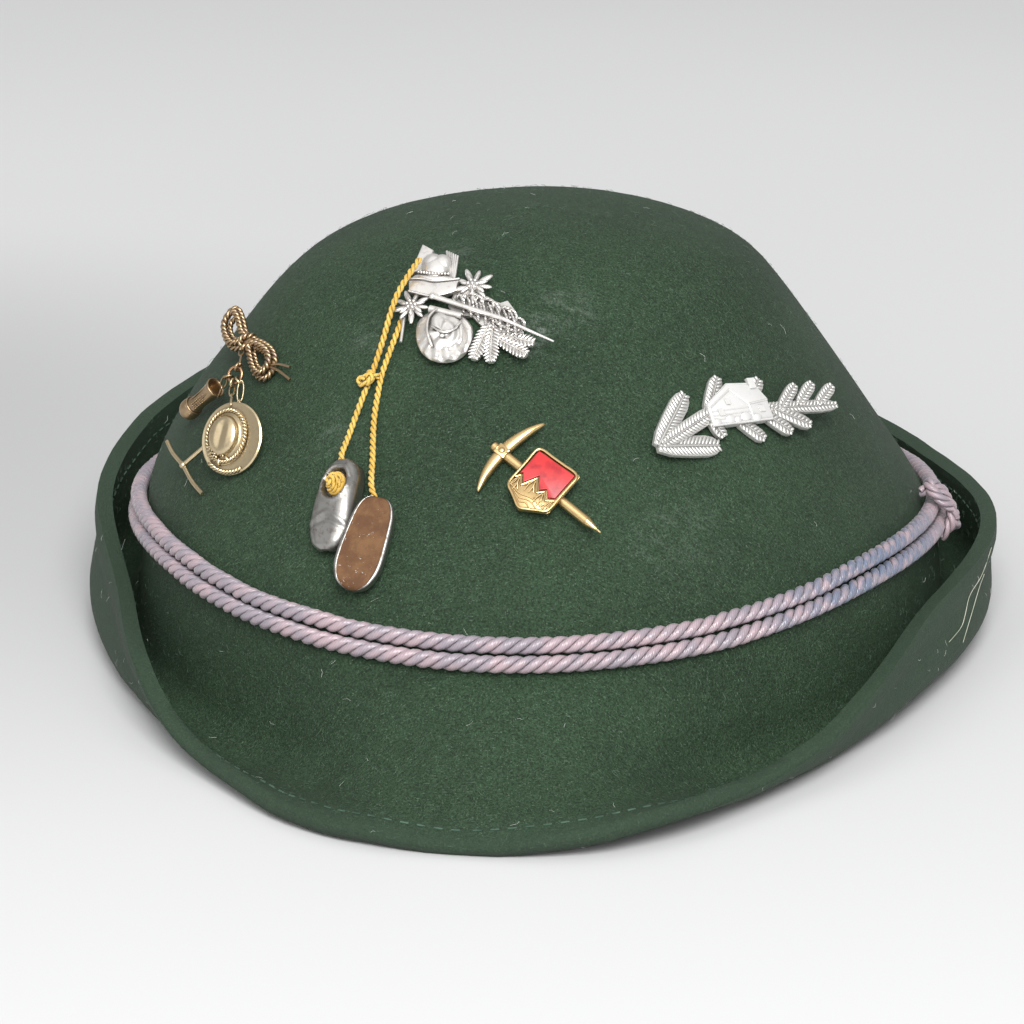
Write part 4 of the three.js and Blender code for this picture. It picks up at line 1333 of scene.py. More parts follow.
@dataclass
class RopeBow:
    """Antique brass brooch in the form of a knotted rope."""

    form: HatForm
    place: Place = Place(-61.2, 0.414, 4.3)
    span: float = 27
    rope_diameter: float = 1.55
    wire: float = 0.6
    upright: Outline = ((4, -2), (-8, -7), (-20, -3), (-29, 6), (-29, 16), (-23, 20), (-13, 14), (-4, 6),
        (6, 2))
    lower: Outline = ((5, 1), (18, 2), (32, -1), (40, -8), (41, -17), (36, -22), (26, -20), (16, -12),
        (7, -3))

    def loop(self, points: Outline, grow: float, z: float) -> list[Vector]:
        """Route of one rope of a loop, larger or smaller than the middle line.

        Args:
            points: The middle line, in hundredths of the span.
            grow: How much larger.
            z: Height off the brooch's middle.

        Returns:
            The route, in millimetres.
        """
        flat = scaled([(x, y, z) for x, y in points], self.span / 100)
        centre = sum(flat, Vector()) / len(flat)
        return [centre + (p - centre) * grow for p in flat]

    def build(self) -> bpy.types.Object:
        """Model the doubled loops, the knot and the two bare ends."""
        unit = self.span / 100
        bow = Workpiece("knotted_rope_brooch", self.form.facing(self.place, BOW_FACING))
        for points in (self.upright, self.lower):
            for grow, depth, share in ((1.07, -0.45, 1.0), (0.84, 0.55, 0.95), (0.58, -0.3, 0.85)):
                bow.rope(self.loop(points, grow, depth), self.rope_diameter * share, 2.3 * share)
        tie = [(4, -7, -0.6), (3, -3, 1.2), (5, 2, 1.5), (9, 5, 0.2), (11, 1, -0.8), (9, -4, 0.9),
            (5, -8, 0.6)]
        bow.rope(scaled(tie, unit), self.rope_diameter * 0.9, 2.1)
        bow.pebble((7 * unit, -1 * unit, 0), (1.8, 1.6, 1.2))
        for x, y in ((61, -8), (67, -17)):
            end = [(36, -13, 0), ((36 + x) / 2, (-13 + y) / 2 + 1.5, 0.2), (x, y, 0)]
            bow.wire(scaled(end, unit), self.wire / 2)
        Charms(self.form).hang(bow, 80, bow.frame @ Vector((2 * unit, -5 * unit, 0)))
        return bow.finish(ANTIQUE_BRASS.material("antique_rope"), "antique_brass", ["rope_bow"], 50)


@dataclass
class Charms:
    """Three small charms on the jump ring under the bow."""

    form: HatForm
    ring_place: Place = Place(-55.3, 0.359, 5)
    slipper_toe: Place = Place(-65.3, 0.259, 3.6)
    slipper_mouth: Place = Place(-59.4, 0.327, 4.2)
    medallion_place: Place = Place(-48, 0.272, 3.8)
    tool_head: Place = Place(-57.5, 0.193, 2.9)
    tool_tip: Place = Place(-51.4, 0.17, 1.1)
    tool_end: Place = Place(-52.6, 0.305, 1)
    ring_diameter: float = 3.4
    ring_wire: float = 0.6
    eye_diameter: float = 1.7
    eye_wire: float = 0.5
    slipper_diameter: float = 4
    medallion_diameter: float = 15
    tool_wire: float = 1

    @property
    def ring_frame(self) -> Matrix:
        """Frame of the jump ring."""
        return self.form.facing(self.ring_place, CHARM_FACING)

    def hang(self, piece: Workpiece, angle: float, to: Vector) -> None:
        """Eye round the jump ring's wire, and a long link from it to a charm.

        Args:
            piece: The piece that the eye and the link belong to.
            angle: Where the eye is on the jump ring, in degrees.
            to: The charm's end of the link, in metres of the shared frame.
        """
        own = piece.frame.inverted()
        radius = self.ring_diameter / 2
        way = Vector((math.cos(math.radians(angle)), math.sin(math.radians(angle)), 0))
        frame = own @ self.ring_frame
        turn = frame.to_3x3() @ Matrix((way, Vector((0, 0, 1)), way.cross(Vector((0, 0, 1))))).transposed()
        half = self.eye_diameter / 2
        piece.ring(frame @ (way * radius), half, half, self.eye_wire / 2, turn)
        start, end = frame @ (way * (radius + half * 0.9)), own @ to
        middle = (start + end) / 2
        along_link = (end - start).normalized()
        out = (frame.to_3x3() @ Vector((0, 0, 1))).normalized()
        across = out.cross(along_link).normalized()
        basis = Matrix((along_link, across, out)).transposed()
        length = (end - start).length / 2 + 0.3
        if length > 1.6:
            for sign in (-1, 1):
                centre = middle + along_link * sign * length * 0.5
                piece.ring(centre, length * 0.56, 0.62, 0.2, basis @ Matrix.Rotation(sign * 0.7, 3, "X"))
        else:
            piece.ring(middle, length, 0.55, 0.22, basis)

    def build(self) -> None:
        """Model the ring and its charms."""
        ring = Workpiece("jump_ring", self.ring_frame)
        ring.ring((0, 0, 0), self.ring_diameter / 2, self.ring_diameter / 2, self.ring_wire / 2,
            Matrix.Identity(3))
        ring.finish(COPPER_WIRE.material("copper_wire"), "copper_wire", ["charm_ring"], 60)
        self.slipper()
        self.medallion()
        self.tool()

    def slipper(self) -> None:
        """Small slipper with a round toe cap, a seam over the instep and an open mouth."""
        toe, mouth = self.form.point(self.slipper_toe), self.form.point(self.slipper_mouth)
        axis = (mouth - toe).normalized()
        length = (mouth - toe).length
        viewer = self.ring_frame.to_3x3() @ Vector((0, 0, 1))
        side = axis.cross(viewer).normalized()
        piece = Workpiece("small_slipper", in_metres(side, axis, side.cross(axis), toe))
        outer = ((0, 0.02), (0.02, 0.27), (0.07, 0.44), (0.16, 0.56), (0.27, 0.55), (0.36, 0.44),
            (0.52, 0.39), (0.7, 0.42))
        lip = ((0.88, 0.48), (0.97, 0.56), (1.0, 0.53), (0.98, 0.43), (0.9, 0.37), (0.78, 0.3), (0.72, 0.02))
        rows = outer + lip
        size = self.slipper_diameter

        def place(s: float, r: float) -> Vector:
            """Point of the slipper, outside and then inside its mouth."""
            x = r * (len(rows) - 1)
            y = along([row[0] for row in rows], x)
            wide = max(0.0, along([row[1] for row in rows], x)) * size
            if r in (0.0, 1.0):
                wide = 0.0
            a = TAU * s
            flat = 0.86 if math.sin(a) < 0 else 1.0
            return Vector((wide * math.cos(a), y * length, wide * math.sin(a) * flat))

        piece.bent(28, 56, place)
        for i in range(9):
            y = length * (0.42 + 0.055 * i)
            for angle in (38, 52, 66, 80):
                a = math.radians(angle)
                spot = (math.cos(a) * size * 0.41, y, math.sin(a) * size * 0.41)
                piece.pebble(spot, (0.2, 0.19, 0.2), 0, 8, 5)
        for sign in (-1, 1):
            seam = [(sign * 0.75, length * 0.36, 1.45), (sign * 0.8, length * 0.62, 1.5),
                (sign * 0.7, length * 0.9, 1.72)]
            piece.wire([Vector(p) for p in seam], 0.12)
        cap = [
            Vector((math.cos(a) * 2.0, length * 0.33, math.sin(a) * 2.0 * (0.86 if math.sin(a) < 0 else 1)))
            for a in turned(RING_POINTS)
        ]
        piece.wire(cap, 0.16, True)
        edge = piece.frame @ Vector((size * 0.46, length * 0.97, 0))
        self.hang(piece, 205, edge)
        piece.finish(ANTIQUE_BRASS.material("antique_slipper"), "antique_brass", ["charm_slipper"], 50)

    def medallion(self) -> None:
        """Small hat seen from above on a bright disc, with a rope, flowers and a roped edge."""
        unit = self.medallion_diameter / 100
        piece = Workpiece("small_hat", self.form.facing(self.medallion_place, CHARM_FACING))
        profile = ((0, -0.4), (7.1, -0.4), (7.5, -0.2), (7.5, 0.3), (7.2, 0.52), (6.6, 0.4), (3, 0.34),
            (0, 0.34))

        def disc(s: float, r: float) -> Vector:
            """Point of the disc with its raised edge."""
            radius, z = profile[round(r * (len(profile) - 1))]
            return Vector((radius * math.cos(TAU * s), radius * math.sin(TAU * s), z))

        piece.bent(64, len(profile) - 1, disc)
        dome = ((1.5, 0.3), (1.42, 0.62), (1.16, 0.8), (1.04, 1.1), (1.0, 1.5), (0.93, 2.0), (0.72, 2.4),
            (0.4, 2.58), (0, 2.62))
        crease = 0.35

        def crown(s: float, r: float) -> Vector:
            """Point of the small hat's crown, creased along its top."""
            x = r * (len(dome) - 1)
            radius = max(0.0, along([row[0] for row in dome], x)) if r < 1 else 0.0
            z = along([row[1] for row in dome], x)
            a = TAU * s
            across = radius * math.cos(a)
            z -= crease * smooth((r - 0.6) / 0.3) * (1 - smooth(abs(across) / 0.5))
            return Vector((-9 * unit + across * 23 * unit, unit + radius * math.sin(a) * 27 * unit, z))

        piece.bent(40, 30, crown)
        oval = [
            Vector((-8.5 * unit + 4.75 * math.cos(a), 0.2 + 5.3 * math.sin(a), 0.72)) for a in turned(16)
        ]
        piece.rope(oval, 0.95, 1.5, 2, True)
        trim = [
            Vector((7.0 * math.cos(a), 7.0 * math.sin(a), 0.6))
            for a in (math.radians(236 + 9 * i) for i in range(9))
        ]
        piece.rope(trim, 1.05, 1.7)
        for x, y, size in ((-24, -18, 0.95), (-14, -25, 1.1), (-3, -22, 0.85), (-20, -8, 0.7),
            (-12, -14, 0.9)):
            centre = Vector((x * unit, y * unit, 1.5))
            for k in range(6):
                a = TAU * k / 6
                out = Vector((math.cos(a), math.sin(a), 0)) * size * 0.6
                piece.pebble(centre + out, (size * 0.42, size * 0.26, size * 0.3), math.degrees(a), 8, 6)
            piece.pebble(centre + Vector((0, 0, 0.25)), (size * 0.3, size * 0.3, size * 0.28), 0, 8, 6)
        for x, y, to_x, to_y in ((-22, -22, -30, -30), (-10, -30, -8, -38), (-2, -24, 6, -30)):
            leaf = Vector((x + to_x, y + to_y, 0)) / 2 * unit
            heading = math.degrees(math.atan2(to_y - y, to_x - x))
            piece.pebble((leaf.x, leaf.y, 0.9), (0.9, 0.38, 0.4), heading, 8, 6)
        top = piece.frame @ Vector((-16 * unit, 45 * unit, 0.2))
        self.hang(piece, 270, top)
        piece.finish(PALE_BRASS.material("pale_brass_hat"), "antique_brass", ["charm_hat"], 45)

    def tool(self) -> None:
        """Small pickaxe whose handle passes behind the medallion."""
        head, tip, end = (self.form.point(p) for p in (self.tool_head, self.tool_tip, self.tool_end))
        other = head.lerp(tip, -0.84)
        piece = Workpiece("small_pickaxe")
        for point in (tip, other):
            bend = head.lerp(point, 0.55) + (head - end).normalized() * 0.35
            piece.wire([head, bend, point], self.tool_wire * 0.46)
        piece.rod(head, end, self.tool_wire / 2, self.tool_wire * 0.44)
        piece.pebble(head, (0.8, 0.8, 0.8))
        self.hang(piece, 325, end * MM)
        piece.finish(PALE_BRASS.material("thin_brass"), "antique_brass", ["charm_pickaxe"], 50)


@dataclass
class TrophyPin:
    """Bright cast brooch with a hat, a banner, edelweiss, a rucksack, a stick, a net and leaves."""

    form: HatForm
    place: Place = Place(-10, 0.6, 0.5)
    span: float = 33
    plate: float = 1.2
    tab: Outline = ((-42, 41), (-45, 19), (-35, 22), (-34, 37))
    banner_top: Outline = ((-45, 13), (-36, 13.5), (-29, 12.5), (-20, 14), (-13, 15.5))
    banner_low: Outline = ((-43, 4), (-36, 2.5), (-29, 1.5), (-21, 3), (-13, 7))
    pack: Outline = (
        (-24, -7), (-29, -12), (-30, -21), (-24, -32), (-18, -41), (-6, -40), (0, -28), (-1, -17),
        (-9, -11), (-18, -11),
    )
    sack_radii: tuple[float, ...] = (18, 18, 17.5, 17, 21, 21, 18, 17, 17.5, 18.5, 19.5, 19)
    net: Outline = (
        (-15, 8), (-17, -3), (-12, -10), (-1, -9), (7, -16), (16, -25), (22, -28), (34, -20), (31, -14),
        (26, -4), (19, 4), (15, 2), (6, 4),
    )

    def build(self) -> bpy.types.Object:
        """Model the brooch as one piece of overlapping shells."""
        pin = Workpiece("trophy_brooch", self.form.frame(self.place))
        self.hat_and_banner(pin)
        self.rucksack(pin)
        self.tangle(pin)
        for x, y, reach in ((-4, 12, 13.5), (-39, -6, 12.5)):
            self.edelweiss(pin, x, y, reach)
        for start, end, wide in (
            ((11, -13), (6, -40), 4.4), ((13, -14), (17, -41), 4.4), ((18, -24), (38, -34), 4.2),
            ((20, -22), (41, -25), 4.0),
        ):
            unit = self.span / 100
            pin.frond(Vector(start) * unit, Vector(end) * unit, wide * unit, 0.1, self.plate * 0.75, 0.8, 1.0)
        return pin.finish(BRIGHT_PEWTER.material("bright_cast_pewter"), "bright_pewter", ["trophy_pin"], 45)

    def at(self, x: float, y: float, z: float) -> Vector:
        """Point in hundredths of the span, with its height in millimetres."""
        return Vector((x * self.span / 100, y * self.span / 100, z))

    def hat_and_banner(self, pin: Workpiece) -> None:
        """Tab, brush, hat with a beaded band, and the curved bare banner below it."""
        unit = self.span / 100
        pin.plate(self.tab, unit, 0, self.plate, 0.3)
        for i in range(6):
            lean = -25.5 + 1.5 * i
            pin.rod(self.at(-20 + 0.6 * i, 16, 0.9), self.at(lean, 36.5 - 0.6 * i, 1.2), 0.32, 0.26, 8)
        pin.pebble(self.at(-21, 24, 0.7), (1.3, 3.0, 0.6), 8)
        pin.pebble(self.at(-30, 23, 0.9), (3.0, 3.1, 1.7), 4, 28, 16)
        for x, y in ((-32.8, 26.8), (-27.0, 26.6)):
            pin.pebble(self.at(x, y, 1.0), (2.2, 2.4, 1.45), 4, 24, 14)
        pin.pebble(self.at(-30, 15.5, 0.9), (4.5, 1.5, 1.1), 2, 28, 12)
        for i in range(11):
            s = i / 5 - 1
            pin.pebble(self.at(-30 + 9.4 * s, 18.6 - 1.4 * (1 - s * s), 2.3 - 0.5 * s * s), (0.36,) * 3,
                0, 10, 6)

        def banner(s: float, r: float) -> Vector:
            """Point of the banner, a bent strip with a round back."""
            x = s * (len(self.banner_top) - 1)
            top = Vector(along([p[k] for p in self.banner_top], x) for k in range(2))
            low = Vector(along([p[k] for p in self.banner_low], x) for k in range(2))
            a = TAU * r
            share = 0.5 - 0.5 * math.cos(a)
            flat = top.lerp(low, share)
            lift = 1.0 + 0.9 * math.copysign(abs(math.sin(a)) ** 0.35, math.sin(a))
            shut = 0.0 if 0 < s < 1 else 1.0
            return self.at(flat.x, flat.y, lift * (1 - shut) + shut)

        pin.bent(28, 28, banner)
        for row in (self.banner_top, self.banner_low):
            pin.wire([self.at(x, y, 1.9) for x, y in row], 0.2)

    def rucksack(self, pin: Workpiece) -> None:
        """Rucksack with its flap, pocket, straps, roll and creases."""
        unit = self.span / 100
        pin.plate(self.pack, unit, 0, self.plate, 0.4)

        def sack(s: float, r: float) -> Vector:
            """Point of the sack: its swollen front and then its back."""
            a = TAU * s
            share = min(1.0, r / 0.84) if r < 0.84 else (1 - r) / 0.16
            radius = along(self.sack_radii, s * len(self.sack_radii), True) * share
            height = 0.4
            if r < 0.84:
                right = smooth((math.cos(a) + 0.35) / 0.8)
                rolls = 0.34 * math.sin(21 * share + 1.2 * math.sin(2 * a)) * right
                folds = 0.45 * math.sin(5 * a + 6 * share) * (1 - right) * (1 - share) * 2
                hem = 0.42 * math.sin(14 * a) * smooth((share - 0.55) / 0.2) * smooth(-math.sin(a) / 0.7)
                height = 0.7 + 2.6 * (1 - share**2.8) + (rolls + folds + hem) * share
            return self.at(-15 + radius * math.cos(a), -25 + radius * math.sin(a), height)

        pin.bent(72, 44, sack)
        pin.rod(self.at(-27, -8, 1.8), self.at(-6, -12, 1.9), 0.8, 0.75, 16)
        strap = [(-22, -9, 2.6), (-25, -17, 3.2), (-24, -27, 3.2), (-19, -37, 2.6)]
        pin.wire([self.at(*p) for p in strap], 0.3)
        flap = [(-21, -24, 3.3), (-14, -28, 3.75), (-8, -25, 3.4), (-5, -18, 3.0)]
        pin.wire([self.at(*p) for p in flap], 0.22)
        pin.pebble(self.at(-14, -30, 3.5), (0.6, 0.45, 0.35), 0, 10, 6)

    def tangle(self, pin: Workpiece) -> None:
        """Net, coiled rope, stick and stem between the flowers and the leaves."""
        unit = self.span / 100
        pin.plate(self.net, unit, 0, self.plate * 0.8, 0.2)
        for i in range(7):
            s = i / 6
            centre = self.at(-7 + 33 * s, 0 - 14 * s + 3 * math.sin(3 * s), 1.25 + 0.35 * (i % 2))
            turn = math.radians(-25 + 18 * (-1) ** i)
            wide, tall = (2.5 - 0.5 * abs(s - 0.5), 1.55 + 0.5 * (i % 3) / 2)
            spin = Matrix.Rotation(turn, 3, "Z")
            oval = [
                centre + spin @ Vector((wide * math.cos(a), tall * math.sin(a), 0.15 * math.sin(3 * a)))
                for a in turned(10)
            ]
            pin.rope(oval, 0.85, 1.5, 2, True, 6)
        for i in range(8):
            s = i / 7
            start = self.at(-12 + 34 * s, 6 - 10 * s, 1.2)
            end = self.at(-6 + 36 * s, -8 - 17 * s, 1.2)
            middle = (start + end) / 2 + Vector((0.4, 0, 1.1))
            pin.rope([start, middle, end], 0.6, 1.2, 2, False, 6)
        pin.rod(self.at(-27, 1, 2.0), self.at(20, -13, 2.6), 0.6, 0.42, 12)
        pin.rod(self.at(20, -13, 2.6), self.at(53, -24, 1.2), 0.42, 0.22, 12)
        pin.pebble(self.at(-27, 1, 2.0), (0.75, 0.75, 0.7))
        pin.rod(self.at(-43, -8, 0.6), self.at(-41, -31, 0.6), 0.36, 0.3, 10)

    def edelweiss(self, pin: Workpiece, x: float, y: float, reach: float) -> None:
        """Edelweiss: two rings of pointed petals round a heart of beads.

        Args:
            pin: The piece that it is part of.
            x: Its middle, in hundredths of the span.
            y: Its middle, upwards.
            reach: Length of a petal, in the same unit.
        """
        unit = self.span / 100
        for ring, count, share, lift in ((0, 9, 1.0, 1.3), (1, 7, 0.68, 1.75)):
            for k in range(count):
                a = TAU * (k + 0.4 * ring) / count
                size = reach * share * (1.0 if (k + ring) % 2 else 0.86)
                middle = self.at(x + size * 0.56 * math.cos(a), y + size * 0.56 * math.sin(a), lift)
                half = (size * unit * 0.47, size * unit * 0.15, 0.42)
                pin.pebble(middle, half, math.degrees(a), 12, 8)
                rib = self.at(x + size * 0.86 * math.cos(a), y + size * 0.86 * math.sin(a), lift + 0.12)
                root = self.at(x + size * 0.25 * math.cos(a), y + size * 0.25 * math.sin(a), lift + 0.38)
                pin.rod(root, rib, 0.12, 0.06, 6)
        pin.pebble(self.at(x, y, 1.6), (reach * unit * 0.34,) * 2 + (0.75,), 0, 16, 8)
        for k in range(7):
            a = TAU * k / 6
            away = reach * 0.2 if k < 6 else 0.0
            pin.pebble(self.at(x + away * math.cos(a), y + away * math.sin(a), 2.2), (0.42, 0.42, 0.4), 0,
                10, 6)


@dataclass
class PickaxePin:
    """Gilt pickaxe that carries a small enamelled shield."""

    form: HatForm
    place: Place = Place(-0.6, 0.345, 0.5)
    span: float = 27
    turn: float = -38.5
    handle: float = 2
    tray_floor: float = 0.5
    tray_rim: float = 0.5
    enamel_depth: float = 0.6
    head_up: float = 38
    head_down: float = 35
    head_sag: float = 8
    head_half: float = 4.4
    shield_turn: float = 3.5
    shield_x: float = 38
    shield_y: float = 21
    half: float = 19.5
    side: float = 37
    point: float = 48
    skyline: Outline = ((-20, -30), (-15, -25), (-10, -31), (-4, -20), (3, -29), (7, -25), (12, -30),
        (20, -24))

    @property
    def unit(self) -> float:
        """Millimetres for each hundredth of the span."""
        return self.span / 100

    def frame(self) -> Matrix:
        """Frame with x along the handle."""
        return self.form.frame(self.place) @ Matrix.Rotation(math.radians(self.turn), 4, "Z")

    def shield_frame(self) -> Matrix:
        """Frame of the shield, from the middle of its top edge."""
        corner = Matrix.Translation((self.shield_x * self.unit, self.shield_y * self.unit, self.handle))
        return self.frame() @ corner @ Matrix.Rotation(math.radians(self.shield_turn), 4, "Z")

    def shield(self, inset: float) -> list[tuple[float, float]]:
        """Outline of the shield, drawn in by an inset in millimetres."""
        by = inset / self.unit
        half = self.half - by
        side = by * 0.4 - self.side
        return [(-half, -by), (-half, side), (0, by - self.point), (half, side), (half, -by)]

    def build(self) -> None:
        """Model the pickaxe, the shield's tray, its relief and its enamel."""
        pick = Workpiece("gilt_pickaxe", self.frame())
        gilt = SATIN_GOLD.material("satin_gilt")
        self.head(pick)
        self.shaft(pick)
        pick.finish(gilt, "satin_gold", ["pickaxe_pin"], 40)
        self.tray(gilt)
        self.enamel()

    def head(self, pick: Workpiece) -> None:
        """Curved head with a ridge along each face."""
        unit = self.unit

        def place(s: float, r: float) -> Vector:
            """Point of the head's surface, along it and round it."""
            k = 2 * s - 1
            reach = self.head_up if k > 0 else self.head_down
            thick = (self.head_half * (1 - k * k) ** 0.7 + 0.4) * (0.0 if abs(k) == 1 else 1.0)
            a = TAU * r
            across = thick * math.copysign(abs(math.cos(a)) ** 0.8, math.cos(a))
            depth = min(0.95, thick * 0.3) * math.copysign(abs(math.sin(a)) ** 0.8, math.sin(a))
            return Vector(((self.head_sag * k * k + across) * unit, k * reach * unit, 1.05 + depth))

        pick.bent(48, 20, place)
        pick.plate(((-5, -4.5), (5, -4.5), (5, 4.5), (-5, 4.5)), unit, 0, self.handle * 1.1, 0.3, 0.3)
        for x in (-4.2, 4.2):
            self.collar(pick, x * unit, 1.12, 0.2)
        pick.pebble((0, 0, 2.25), (0.65, 0.65, 0.3))

    def shaft(self, pick: Workpiece) -> None:
        """Round handle with its butt and its tapered end."""
        unit, radius = self.unit, self.handle / 2
        pick.rod((-8 * unit, 0, radius), (84 * unit, 0, radius), radius, radius, 24)
        pick.pebble((-8 * unit, 0, radius), (0.5, radius * 0.98, radius * 0.98), 0, 20, 10)
        pick.rod((84 * unit, 0, radius), (93 * unit, 0, radius), radius, radius * 0.35, 24)
        pick.rod((92 * unit, 0, radius), (97 * unit, 0, radius), radius * 0.25, radius * 0.2, 12)
        self.collar(pick, 83.6 * unit, 1.03, 0.11)

    @staticmethod
    def collar(pick: Workpiece, x: float, radius: float, wire: float) -> None:
        """Thin ring round the handle."""
        ring = [Vector((x, radius * math.cos(a), 1 + radius * math.sin(a))) for a in turned(RING_POINTS)]
        pick.wire(ring, wire, True)

    def tray(self, gilt: bpy.types.Material) -> None:
        """Shield with a raised rim and low peaks below the enamel."""
        tray = Workpiece("shield_tray", self.shield_frame())
        unit = self.unit
        tray.plate(self.shield(0), unit, -self.tray_floor, self.tray_floor, 0.05, 0.4)
        top = self.enamel_depth + 0.25
        corners = [Vector((x * unit, y * unit, 0)) for x, y in self.shield(self.tray_rim * 0.5)]
        rim = []
        for a, b in zip(corners, corners[1:] + corners[:1]):
            rim += [a.lerp(b, share) for share in (0.09, 0.36, 0.64, 0.91)]
        for z in (0.15, 0.5, top - 0.28):
            lifted = [p + Vector((0, 0, z)) for p in rim]
            tray.wire(lifted, 0.28, True)
        floor = [(-17.6, -31), *((x, y - 0.5) for x, y in self.skyline[1:-1]), (17.6, -27)]
        lower = [(17.6, -36.6), (0, -46.6), (-17.6, -36.6)]
        tray.plate(floor + lower, unit, -0.1, 0.55, 0.08)
        self.peaks(tray)
        tray.finish(gilt, "satin_gold", (), 40)

    def peaks(self, tray: Workpiece) -> None:
        """Low relief of a mountain chain with ridges, slopes and a meadow."""
        unit = self.unit
        line = [Vector((x * unit, (y - 0.8) * unit, 0.5)) for x, y in self.skyline[1:-1]]
        line = [Vector((-17.6 * unit, -29 * unit, 0.5)), *line, Vector((17.6 * unit, -27 * unit, 0.5))]
        for a, b in zip(line, line[1:]):
            tray.rod(a, b, 0.22, 0.22, 8)
            tray.pebble(b, (0.24, 0.24, 0.24), 0, 8, 6)
        tops = [(-15, -26), (-4, -21), (7, -26), (16, -27)]
        for x, y in tops:
            for k, (lean, drop) in enumerate(((-4.5, 8), (-1.5, 11), (2, 10), (5, 8))):
                edge = max(-16.5, min(16.5, x + lean))
                start = Vector(((x + lean * 0.15) * unit, (y - 2) * unit, 0.5))
                end = Vector((edge * unit, (y - 2 - drop) * unit, 0.46))
                kink = (start + end) / 2 + Vector(((-1) ** k * 0.22, 0, 0.1))
                tray.wire([start, kink, end], 0.13, False, 6)
        for i in range(4):
            y = -36.5 - 2.6 * i
            half = 16.5 - 5.2 * i
            wave = [
                Vector((x * half * unit, (y + 1.0 * (-1) ** k) * unit, 0.5))
                for k, x in enumerate((-1, -0.4, 0.2, 1))
            ]
            if half > 2:
                tray.wire(wave, 0.13, False, 6)

    def enamel(self) -> None:
        """Red enamel between the rim and the peaks, flat with a softened edge."""
        gap = self.form.seat_gap
        half = self.half - (self.tray_rim + gap) / self.unit
        top = -(self.tray_rim + gap) / self.unit
        lift = gap / self.unit * 1.6
        low = [(x, y + lift) for x, y in self.skyline[1:-1]]
        outline = [(-half, top), (-half, -26.5 + lift), *low, (half, -27 + lift), (half, top)]
        inlay = Workpiece("red_enamel", self.shield_frame())
        inlay.plate(outline, self.unit, gap * 0.3, self.enamel_depth, 0.14)
        inlay.finish(EnamelFinish().material("red_enamel"), "red_enamel", ["shield_enamel"], 30)


@dataclass(frozen=True)
class Leaf:
    """Fir leaf from its stem to its tip, with its half width, in hundredths of the pin's span."""

    x: float
    y: float
    to_x: float
    to_y: float
    wide: float


